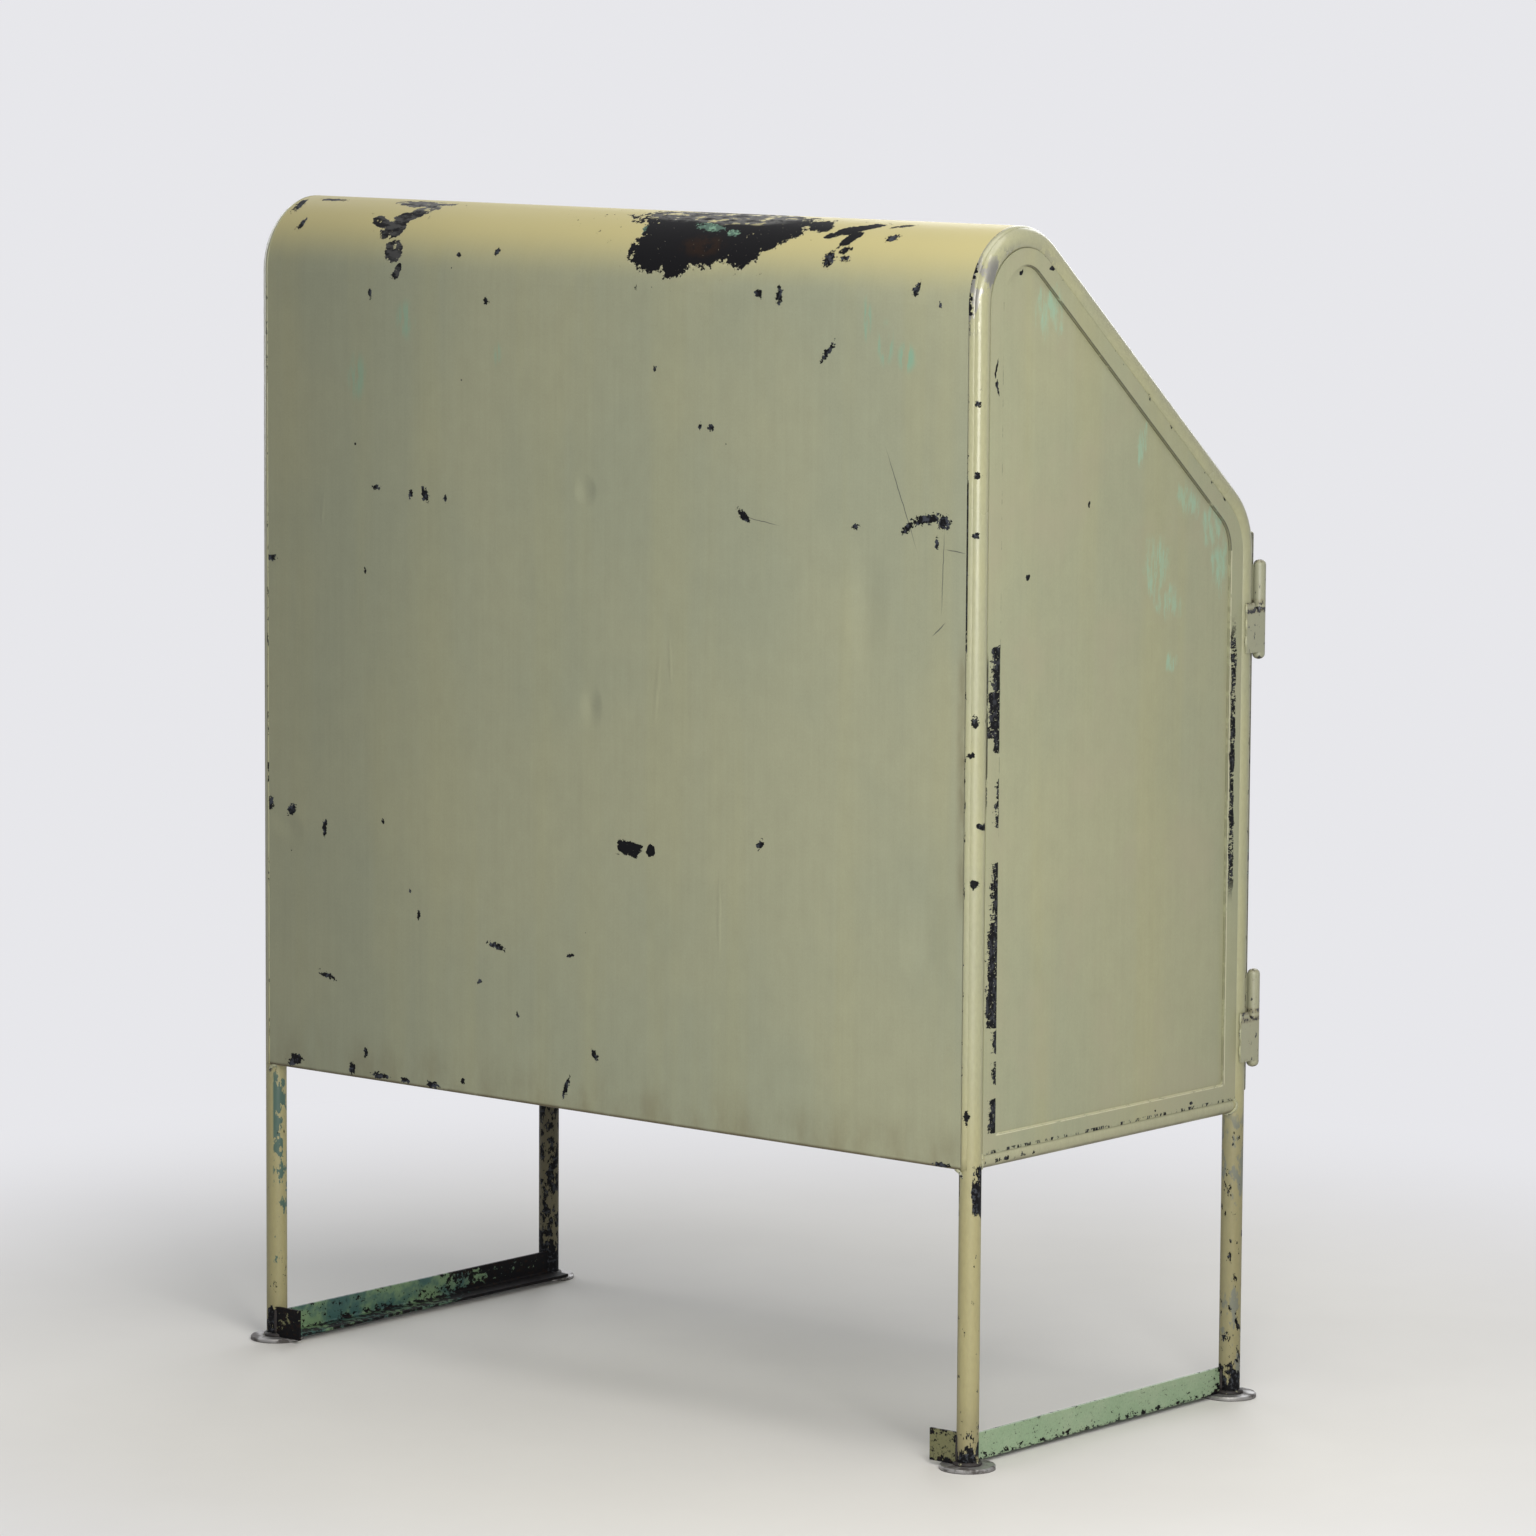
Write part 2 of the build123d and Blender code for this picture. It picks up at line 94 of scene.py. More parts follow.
# the nodes of a material or of the world
class Board:
    def __init__(self, owner):
        owner.use_nodes = True
        self.tree = owner.node_tree

    def node(self, kind, settings, values, output=0):
        thing = self.tree.nodes.new("ShaderNode" + kind)
        for key, value in settings.items():
            setattr(thing, key, value)
        for key, value in values.items():
            self.feed(thing.inputs[key], value)
        return Wire(self, thing.outputs[output])

    def feed(self, socket, value):
        if isinstance(value, Wire):
            self.tree.links.new(value.socket, socket)
        elif socket.type == "RGBA" and len(value) == 3:
            socket.default_value = (*value, 1)
        else:
            socket.default_value = value

    def apart(self, vector):
        first = self.node("SeparateXYZ", {}, {0: vector}, "X")
        return first, first.out("Y"), first.out("Z")

    def join(self, first, second, third=0.0):
        return self.node("CombineXYZ", {}, {0: first, 1: second, 2: third})

    def mix(self, share, low, high, blend="MIX"):
        settings = {"data_type": "RGBA", "blend_type": blend}
        return self.node("Mix", settings, {0: share, 6: low, 7: high}, 2)

    def shaded(self, colour, shade):
        return self.mix(1.0, colour, self.join(shade, shade, shade), "MULTIPLY")

    def noise(self, place, scale, detail, rough, shift=0.0, stretch=(1, 1, 1)):
        spread = tuple(scale * k for k in stretch)
        settings = {"operation": "MULTIPLY_ADD"}
        moved = self.node("VectorMath", settings, {0: place, 1: spread, 2: (shift, shift * 0.7, -shift)})
        values = {"Vector": moved, "Scale": 1.0, "Detail": detail, "Roughness": rough}
        return self.node("TexNoise", {}, values)

    def torn(self, place, *wobbles):
        # shifts a place by noise, so that rims drawn on it come out ragged
        for scale, reach in wobbles:
            shift = self.noise(place, scale, 2, 0.6, scale).out("Color")
            spread = {0: shift, 1: (2 * reach, 2 * reach, 0), 2: (-reach, -reach, 0)}
            shift = self.node("VectorMath", {"operation": "MULTIPLY_ADD"}, spread)
            place = self.node("VectorMath", {"operation": "ADD"}, {0: place, 1: shift})
        return place

    def length(self, first, second):
        return self.node("VectorMath", {"operation": "LENGTH"}, {0: self.join(first, second)}, "Value")

    def dot(self, first, second):
        return self.node("VectorMath", {"operation": "DOT_PRODUCT"}, {0: first, 1: second}, "Value")

    def nearest(self, place, marks):
        # distance to the closest of many ovals, 1 on their rims, for a place with 1 as its third value
        field = None
        for across, up, wide, tall, *turn in marks.values():
            c, s = math.cos(math.radians(sum(turn))), math.sin(math.radians(sum(turn)))
            along = self.dot(place, (c / wide, s / wide, -(c * across + s * up) / wide))
            over = self.dot(place, (-s / tall, c / tall, (s * across - c * up) / tall))
            reach = self.length(along, over)
            field = reach if field is None else field.least(reach)
        return field

    def specks(self, place, scale, size, share):
        near = self.node("TexVoronoi", {}, {"Vector": place, "Scale": scale}, "Distance")
        chosen = near.out("Color").rise(1 - share, 1 - share * 0.9)
        return near.fall(size * 0.6, size) * chosen

    def plainRay(self):
        seen = self.node("LightPath", {}, {}, plainRays[0])
        for name in plainRays[1:]:
            seen = seen.most(self.node("LightPath", {}, {}, name))
        return seen

    def close(self, output, share, first, second):
        both = self.node("MixShader", {}, {0: share, 1: first, 2: second})
        self.feed(self.tree.nodes[output].inputs["Surface"], both)


bumpDepth = 0.001       # metres of relief for a height of 1
bareSteel = {"Roughness": 0.6, "Specular IOR Level": 0.10}


class Finish(Board):
    def __init__(self, name):
        self.material = bpy.data.materials.new(name)
        super().__init__(self.material)
        self.shader = self.tree.nodes["Principled BSDF"]
        self.base = Wire(self, self.shader.outputs[0])
        self.place = self.node("TexCoord", {}, {}, "Object")
        self.x, self.y, self.z = self.apart(self.place)
        self.normal = self.apart(self.node("NewGeometry", {}, {}, "Normal"))

    def surface(self, colour, rough, height=None, metal=None, gloss=0.5, bare=None, scale=None):
        self.feed(self.shader.inputs["Base Color"], colour)
        self.feed(self.shader.inputs["Roughness"], rough)
        self.shader.inputs["Specular IOR Level"].default_value = gloss
        bump = None
        if metal is not None:
            self.feed(self.shader.inputs["Metallic"], metal)
        if height is not None:
            bump = self.node("Bump", {}, {"Height": height, "Distance": bumpDepth, "Strength": 1.0})
            self.feed(self.shader.inputs["Normal"], bump)
        if bare is not None:
            # duller scale of the steel where the paint is gone
            values = {"Base Color": scale, **bareSteel}
            if bump is not None:
                values["Normal"] = bump
            self.close("Material Output", bare, self.base, self.node("BsdfPrincipled", {}, values))
        return self.material


tones = {
    "coat": (0.335, 0.342, 0.238),
    "coatGrey": (0.310, 0.326, 0.236),
    "coatWarm": (0.372, 0.358, 0.205),
    "yellowedLitTop": (0.520, 0.462, 0.222),
    "tube": (0.322, 0.318, 0.190),
    "tubeGreen": (0.300, 0.302, 0.192),
    "legFloorBounce": (0.318, 0.285, 0.138),
    "cream": (0.620, 0.600, 0.420),
    "mint": (0.215, 0.390, 0.290),
    "paleMint": (0.260, 0.430, 0.310),
    "teal": (0.030, 0.092, 0.082),
    "black": (0.004, 0.004, 0.005),
    "wornGrey": (0.032, 0.034, 0.040),
    "rust": (0.015, 0.008, 0.005),
    "stain": (0.150, 0.120, 0.060),
    "steel": (0.240, 0.235, 0.225),
    "dust": (0.400, 0.380, 0.310),
}

hoop = {
    "legX": 0.45, "rearY": 0.2215, "frontY": -0.2005, "tube": 0.01065,
    "rearCorner": 1.229, "frontCorner": 0.874, "rearBend": 0.061, "frontBend": 0.070,
}
hoop["midY"] = (hoop["rearY"] + hoop["frontY"]) / 2
hoop["slope"] = math.atan2(hoop["rearCorner"] - hoop["frontCorner"], hoop["rearY"] - hoop["frontY"])
hoop["rearBendZ"] = hoop["rearCorner"] - hoop["rearBend"] * math.tan(math.pi / 4 + hoop["slope"] / 2)
hoop["frontBendZ"] = hoop["frontCorner"] - hoop["frontBend"] * math.tan(math.pi / 4 - hoop["slope"] / 2)
hoop["tilt"] = math.pi / 2 + hoop["slope"]
sheetOut = 0.012        # outer face of the wrap sheet from the tube axis


def brushedCoat(fin, place, warm):
    # slow clouds, soft bands and brush streaks along the second axis, and a fine grain
    clouds = fin.noise(place, 5, 3, 0.5, 2.0, (1, 0.7, 1))
    bands = fin.noise(place, 17, 3, 0.5, 7.0, (1, 0.05, 1))
    streaks = fin.noise(place, 210, 4, 0.65, 4.0, (1, 0.022, 1))
    mottle = fin.noise(place, 48, 5, 0.65, 3.0, (1, 0.7, 1))
    grain = fin.noise(place, 620, 3, 0.65, 1.0, (1, 0.7, 1))
    colour = fin.mix(clouds.rise(0.36, 0.64), tones["coat"], tones["coatGrey"])
    colour = fin.mix(bands.rise(0.46, 0.68) * warm, colour, tones["coatWarm"])
    colour = fin.shaded(colour, 0.77 + 0.12 * streaks + 0.17 * mottle + 0.17 * grain)
    height = 0.04 * streaks + 0.10 * mottle + 0.06 * grain
    rough = 0.36 + 0.12 * clouds + 0.06 * grain
    return colour, rough, height


# marks on the wrap sheet: across, up along the sheet, half width, half height and, if it leans, its turn
topChip = {
    "roundLobe": (-0.053, 1.139, 0.027, 0.024),
    "lowTip": (-0.084, 1.126, 0.017, 0.016, 20),
    "brownMiddle": (-0.112, 1.150, 0.056, 0.026),
    "rightLobe": (-0.166, 1.141, 0.021, 0.019),
    "rightShelf": (-0.190, 1.162, 0.038, 0.017, -20),
    "upperBand": (-0.118, 1.186, 0.112, 0.028),
    "tailBlob": (-0.236, 1.181, 0.017, 0.010, 10),
    "tailStreak": (-0.282, 1.178, 0.031, 0.008, -28),
    "tailLow": (-0.285, 1.163, 0.015, 0.007, -58),
    "leftJoin": (-0.058, 1.166, 0.034, 0.014),
    "blackChip": (-0.036, 0.556, 0.018, 0.007, 5),
    "blackBit": (-0.063, 0.555, 0.006, 0.006),
    "leftBlob": (0.311, 1.155, 0.017, 0.006, 25),
    "leftBody": (0.290, 1.146, 0.016, 0.010, -20),
    "leftBand": (0.276, 1.170, 0.030, 0.011, -38),
    "leftTop": (0.283, 1.192, 0.036, 0.009),
    "leftDrip": (0.279, 1.124, 0.013, 0.010, 60),
    "leftOval": (0.271, 1.103, 0.005, 0.009, 20),
}
topBand = {"upper": (-0.110, 1.194, 0.110, 0.020), "left": (0.276, 1.188, 0.050, 0.014)}
topBrown = {"brown": (-0.112, 1.146, 0.034, 0.016)}
topMint = {"patch": (-0.108, 1.170, 0.020, 0.006, 8), "bit": (-0.140, 1.163, 0.008, 0.005),
           "leftEdge": (-0.024, 1.163, 0.008, 0.008)}
smallChips = {
    "cornerSpot": (0.416, 1.149, 0.004, 0.008, 15), "dropA": (-0.272, 1.138, 0.007, 0.009),
    "dropB": (-0.287, 1.148, 0.008, 0.004, -30), "dropC": (-0.291, 1.139, 0.006, 0.004, 10),
    "dropD": (-0.333, 1.166, 0.008, 0.005, -15), "tailBit": (-0.330, 1.188, 0.014, 0.003, -20),
    "speckA": (0.191, 1.123, 0.003, 0.003),
    "speckB": (0.143, 1.128, 0.004, 0.004),
    "speckC": (0.152, 1.079, 0.004, 0.004),
    "speckD": (0.307, 1.080, 0.003, 0.005),
    "upperA": (-0.195, 1.101, 0.005, 0.004, 30),
    "upperB": (-0.220, 1.099, 0.004, 0.010),
    "upperC": (-0.385, 1.112, 0.004, 0.008, 20),
    "dash": (-0.280, 1.049, 0.014, 0.003, -50),
    "rowA": (0.299, 0.887, 0.006, 0.003),
    "rowB": (0.252, 0.883, 0.003, 0.005),
    "rowC": (0.233, 0.884, 0.005, 0.008, -25),
    "rowD": (0.206, 0.882, 0.003, 0.004),
    "edgeA": (0.446, 0.809, 0.010, 0.004, 8),
    "edgeB": (0.446, 0.557, 0.005, 0.008),
    "edgeC": (0.416, 0.553, 0.008, 0.005, -40),
    "edgeD": (0.370, 0.538, 0.003, 0.010),
    "dotsA": (-0.123, 0.970, 0.002, 0.005),
    "dotsB": (-0.137, 0.970, 0.004, 0.003),
    "hitA": (-0.178, 0.888, 0.010, 0.004, 35),
    "hitB": (-0.315, 0.886, 0.005, 0.003),
    "curveLow": (-0.378, 0.889, 0.010, 0.004, -40),
    "curveMid": (-0.400, 0.898, 0.020, 0.005, -12),
    "curveEnd": (-0.421, 0.896, 0.008, 0.008),
    "curveDrop": (-0.413, 0.876, 0.003, 0.006),
    "speckField": (-0.201, 0.573, 0.004, 0.006, 30),
    "arc": (0.137, 0.441, 0.012, 0.003, 12),
    "lowA": (0.412, 0.296, 0.011, 0.006, -20),
    "lowB": (0.333, 0.297, 0.004, 0.007),
    "lowC": (0.294, 0.293, 0.012, 0.003),
    "lowD": (0.260, 0.292, 0.006, 0.003),
    "lowF": (0.223, 0.292, 0.009, 0.004),
    "lowG": (0.182, 0.301, 0.003, 0.003),
    "lowDash": (0.045, 0.310, 0.003, 0.013, 22),
    "lowDot": (0.008, 0.346, 0.004, 0.006, -20),
    "lowE": (-0.425, 0.290, 0.012, 0.003),
    "dotA": (0.242, 0.462, 0.0025, 0.005), "dotB": (0.253, 0.485, 0.002, 0.003),
    "dotC": (0.290, 0.552, 0.002, 0.003), "dotD": (0.159, 0.403, 0.003, 0.003),
    "dotE": (0.040, 0.442, 0.005, 0.002, -10), "dotF": (0.314, 0.803, 0.002, 0.003),
    "dotG": (0.109, 0.375, 0.002, 0.004), "dotH": (-0.066, 1.023, 0.003, 0.003),
    "dotI": (-0.414, 1.098, 0.002, 0.003), "greyA": (0.367, 0.388, 0.012, 0.003, 15),
    "greyB": (0.314, 0.314, 0.003, 0.005), "bendEdge": (0.440, 1.178, 0.005, 0.014, -8),
    "bendTop": (0.405, 1.193, 0.018, 0.004),
}
scratches = {
    "longA": (-0.370, 0.915, 0.060, 0.0007, 68),
    "longB": (-0.420, 0.850, 0.048, 0.0006, 92),
    "shortA": (-0.416, 0.796, 0.012, 0.0008, -40),
    "shortB": (-0.200, 0.884, 0.026, 0.0005, 8),
    "shortC": (-0.435, 0.870, 0.014, 0.0007, 6),
}
mintSmears = {"rightA": (-0.327, 1.082, 0.007, 0.026), "rightB": (-0.349, 1.060, 0.013, 0.026),
              "rightC": (-0.375, 1.048, 0.014, 0.018), "leftA": (0.259, 1.056, 0.016, 0.024),
              "leftB": (0.325, 0.997, 0.016, 0.030), "leftC": (0.137, 1.027, 0.006, 0.016)}
dents = {"hit": (0.022, 0.900, 0.016, 0.018), "lower": (0.014, 0.690, 0.016, 0.026),
         "corner": (0.420, 0.535, 0.026, 0.020, 30), "crease": (-0.405, 0.505, 0.034, 0.060, 10),
         "rightSide": (-0.330, 0.810, 0.030, 0.090)}
paintRuns = {"runA": (-0.070, 0.712, 0.004, 0.045, 6), "runB": (-0.087, 0.742, 0.003, 0.030, -4),
             "runC": (0.372, 0.862, 0.003, 0.028, 5), "runD": (-0.150, 0.500, 0.003, 0.060)}
# two lengths say where a mark fades in or out, three give its middle, half width and softness
sheetLook = {
    "warm": 0.22, "slopeY": (0.112, 0.114), "backY": (0.04, 0.06), "leftX": (0.1, 0.2),
    "litTopTilt": (0.06, 0.80), "litTopFade": (0.02, 0.12), "slopeGrey": 0.45, "slopeStain": 0.20,
    "lowGrime": (0.285, 0.345), "besideX": (-0.447, 0.002, 0.009), "besideUp": (0.66, 0.06, 0.10),
    "hemUp": (0.2884, 0.2914), "hemBrown": (0.085, 0.062, 0.030), "smearX": (-0.2, 0.1),
    "endShadeFar": (0.15, 0.44), "endShadeNear": (-0.44, -0.25), "endShadeUp": (1.02, 1.10),
    "tint": (0.985, 0.985, 0.95), "greyScale": (0.125, 0.126, 0.126), "blueScale": (0.045, 0.050, 0.064),
    "oldMint": (0.080, 0.140, 0.112), "freshMint": (0.190, 0.330, 0.240),
    "foldY": (-0.205, -0.165), "endX": (0.425, 0.449), "slack": 1.6, "dent": 1.9, "run": 0.25,
}


def sheetFinish():
    fin = Finish("wrapSheetPaint")
    look = sheetLook

    # height measured along the sheet: up the back, round the bend and down the slope
    rise = (fin.z - hoop["rearBendZ"]).most(0)
    away = fin.y - (hoop["rearY"] - hoop["rearBend"])
    turn = fin.node("Math", {"operation": "ARCTAN2"}, {0: rise, 1: away})
    down = -math.cos(hoop["slope"]) * away - math.sin(hoop["slope"]) * (fin.z - hoop["rearBendZ"])
    onSlope = fin.y.fall(*look["slopeY"])
    up = fin.z.least(hoop["rearBendZ"]) * (1 - onSlope) + hoop["rearBendZ"] * onSlope
    up = up + turn.least(hoop["tilt"]) * (hoop["rearBend"] + sheetOut) + down.most(0) * onSlope
    place = fin.join(fin.x, up, 1.0)
    outside = (fin.normal[1] * away + fin.normal[2] * rise).rise(0.0, 0.004)
    rear = fin.y.rise(*look["backY"]) * outside
    colour, rough, height = brushedCoat(fin, place, look["warm"])
    # yellowed paint on up-facing faces, with painted light from above that makes them lighter than the coat
    litTop = fin.normal[2].rise(*look["litTopTilt"]) * (0.9 - 0.5 * fin.y.fall(*look["litTopFade"]))
    colour = fin.mix(litTop * outside, colour, tones["yellowedLitTop"])

    # rubbed and stained patches on the slope
    rub = fin.noise(place, 16, 5, 0.65, 7.0, (1, 0.35, 1))
    sloping = onSlope * outside
    colour = fin.mix(sloping * rub.rise(0.50, 0.66) * look["slopeGrey"], colour, tones["coatGrey"])
    colour = fin.mix(sloping * rub.fall(0.30, 0.46) * look["slopeStain"], colour, tones["stain"])

    # grime low down, the sheet darker beside the left tube, and brown along the hem
    smudge = fin.noise(place, 28, 4, 0.6, 3.0, (1, 0.4, 1))
    grime = up.fall(*look["lowGrime"]) * smudge.rise(0.3, 0.8) * 0.5
    beside = fin.x.band(*look["besideX"]) * up.band(*look["besideUp"])
    grime = grime.most(beside * smudge.rise(0.3, 0.7) * 0.8)
    colour = fin.mix(grime * rear, colour, tones["stain"])
    hem = up.fall(*look["hemUp"]) * smudge.rise(0.15, 0.5) * 0.85
    colour = fin.mix(hem * rear, colour, look["hemBrown"])

    # mint undercoat rubbed through in streaks, and painted shade that darkens the paint towards both ends
    streak = fin.noise(place, 130, 3, 0.6, 6.0, (1, 0.16, 1))
    smear = fin.nearest(place, mintSmears).fall(0.35, 1.0) * streak.rise(0.42, 0.56)
    smear = smear * rear * (0.55 + 0.3 * fin.x.fall(*look["smearX"]))
    colour = fin.mix(smear, colour, tones["mint"])
    paintedEndShade = 1 - 0.14 * fin.x.rise(*look["endShadeFar"])
    paintedEndShade = paintedEndShade - 0.05 * fin.x.fall(*look["endShadeNear"]) * up.fall(*look["endShadeUp"])
    colour = fin.mix(1.0, colour, fin.join(*(k * paintedEndShade for k in look["tint"])), "MULTIPLY")

    # chips down to black scale, with brown rust, mint and crumbs of paint left in them
    crumble = fin.noise(place, 105, 5, 0.66, 3.0) - 0.5
    crumbs = fin.noise(place, 430, 3, 0.6, 5.0) - 0.5
    graze = fin.noise(place, 130, 4, 0.62, 8.0, (0.40, 0.9, 1))
    ragged = fin.torn(place, (40, 0.005))
    big = fin.nearest(ragged, topChip) + 1.5 * crumble + 0.35 * crumbs
    band = fin.nearest(ragged, topBand).fall(0.7, 1.0)
    lefty = fin.x.rise(*look["leftX"])
    holes = ((graze + 0.05 * crumbs).rise(0.565, 0.585) * band).most(crumbs.rise(0.21, 0.23))
    holes = holes.most(lefty * crumble.rise(0.13, 0.145))
    splinters = big.fall(1.2, 1.8) * crumble.fall(-0.17, -0.15)
    chip = big.fall(0.95, 1.0).most(splinters) * (1 - holes) * rear
    greyed = (band * graze.rise(0.36, 0.52)).most(lefty * graze.rise(0.42, 0.58) * 0.45)
    black = fin.mix(greyed, tones["black"], look["greyScale"])
    brown = fin.nearest(ragged, topBrown).fall(0.4, 1.0) * (crumble + 0.5).rise(0.36, 0.56)
    black = fin.mix(brown, black, tones["rust"])
    knots = fin.noise(place, 290, 3, 0.6, 6.0) - 0.5
    left = (fin.nearest(ragged, topMint) + 2.6 * knots + 0.8 * crumbs).fall(0.80, 0.90)
    black = fin.mix(left, black, fin.mix(crumble.rise(0.0, 0.12), look["oldMint"], look["freshMint"]))
    rim = big.fall(1.0, 1.12) * crumbs.rise(0.02, 0.10) * rear
    colour = fin.mix(rim * 0.6, colour, tones["cream"])

    # small chips and specks, knocks along the slope's fold and thin scratches
    fine = fin.torn(place, (150, 0.0030))
    small = (fin.nearest(fine, smallChips) + 2.3 * knots + 0.8 * crumbs).fall(0.85, 0.95)
    small = small.most(fin.specks(place, 16, 0.028, 0.45)).most(fin.specks(place, 45, 0.040, 0.10)) * rear
    black = fin.mix(small, black, fin.mix(crumble.rise(-0.02, 0.10), tones["black"], look["blueScale"]))
    fold = fin.y.fall(*look["foldY"]) * 0.10 + abs(fin.x).rise(*look["endX"]) * 0.04
    knocks = sloping * (crumble + 0.5 + fold + 0.25 * crumbs).rise(0.735, 0.750)
    bare = chip.most(small).most(knocks)
    line = fin.nearest(fin.torn(place, (60, 0.0012)), scratches).fall(0.5, 1.0) * rear
    colour = fin.mix(line * 0.75, colour, tones["wornGrey"])

    # slack of the sheet, dents and paint that ran
    slack = fin.noise(place, 5.5, 2, 0.4, 5.0, (1, 0.6, 1))
    runs = fin.nearest(fin.torn(place, (40, 0.002)), paintRuns).fall(0.2, 1.0)
    height = height + look["slack"] * slack - look["dent"] * fin.nearest(place, dents).fall(0.0, 1.0)
    height = height + look["run"] * runs + 0.05 * fin.specks(place, 60, 0.10, 0.25) - 0.25 * chip
    return fin.surface(colour, rough, height, gloss=0.32, bare=bare, scale=black)


# marks on the side panels: towards the back, up, half width, half height and any turn in degrees
sideMarks = {
    "mintRise": (-0.029, 0.961, 0.008, 0.020, 10), "mintSlopeA": (-0.107, 0.897, 0.022, 0.013, 38),
    "mintSlopeB": (-0.142, 0.869, 0.020, 0.017, 38), "mintFront": (-0.157, 0.829, 0.012, 0.028),
    "mintMid": (-0.051, 0.836, 0.020, 0.026), "mintLow": (-0.075, 0.800, 0.020, 0.016),
    "mintTop": (0.122, 1.088, 0.020, 0.022), "mintTiny": (-0.080, 0.743, 0.009, 0.009),
}
sideSpots = {
    "spotA": (0.150, 0.842, 0.003, 0.003), "spotB": (0.055, 0.905, 0.002, 0.003),
    "spotC": (0.120, 1.130, 0.004, 0.002), "spotD": (0.165, 1.128, 0.003, 0.003),
    "stripA": (0.204, 1.040, 0.002, 0.010, 12), "stripB": (0.202, 1.022, 0.002, 0.008, -10),
    "lowA": (-0.120, 0.306, 0.003, 0.002), "lowB": (-0.060, 0.307, 0.002, 0.002),
}
stripMarks = {      # up, half height, width
    "top": (0.758, 0.021, 0.0125), "second": (0.7165, 0.021, 0.0165), "third": (0.6885, 0.007, 0.0080),
    "dashA": (0.646, 0.008, 0.0045), "dashB": (0.622, 0.011, 0.0055), "narrow": (0.549, 0.026, 0.0095),
    "wide": (0.489, 0.030, 0.0135), "solid": (0.441, 0.020, 0.0155), "dashC": (0.406, 0.010, 0.0070),
    "dashD": (0.3765, 0.010, 0.0060), "foot": (0.336, 0.015, 0.0085),
}
sideLook = {
    "rear": 0.19315, "front": -0.17215, "low": 0.3171, "slopeStep": 0.02585, "ridge": 0.00935,
    "groove": 0.3011, "rearRound": 0.03265, "rearCentre": (0.1605, 1.10125),
    "frontRound": 0.04165, "frontCentre": (-0.1305, 0.84467),
    "hair": 0.0004, "lineZ": (0.316, 0.320), "rearArcY": (0.150, 0.172), "lowLineY": (0.0105, 0.180, 0.004),
    "stripSpread": 1.15, "stripEdge": (0.0006, 0.0012), "thinY": (0.2115, 0.2122),
    "thinZ": (0.700, 0.060, 0.02), "frontStrip": (0.0070, 0.0036, 0.0008), "frontZ": (0.640, 0.115, 0.03),
    "warm": 0.30, "blotch": (0.345, 0.330, 0.245), "tint": (0.92, 0.91, 0.82), "dirt": (0.045, 0.040, 0.024),
}


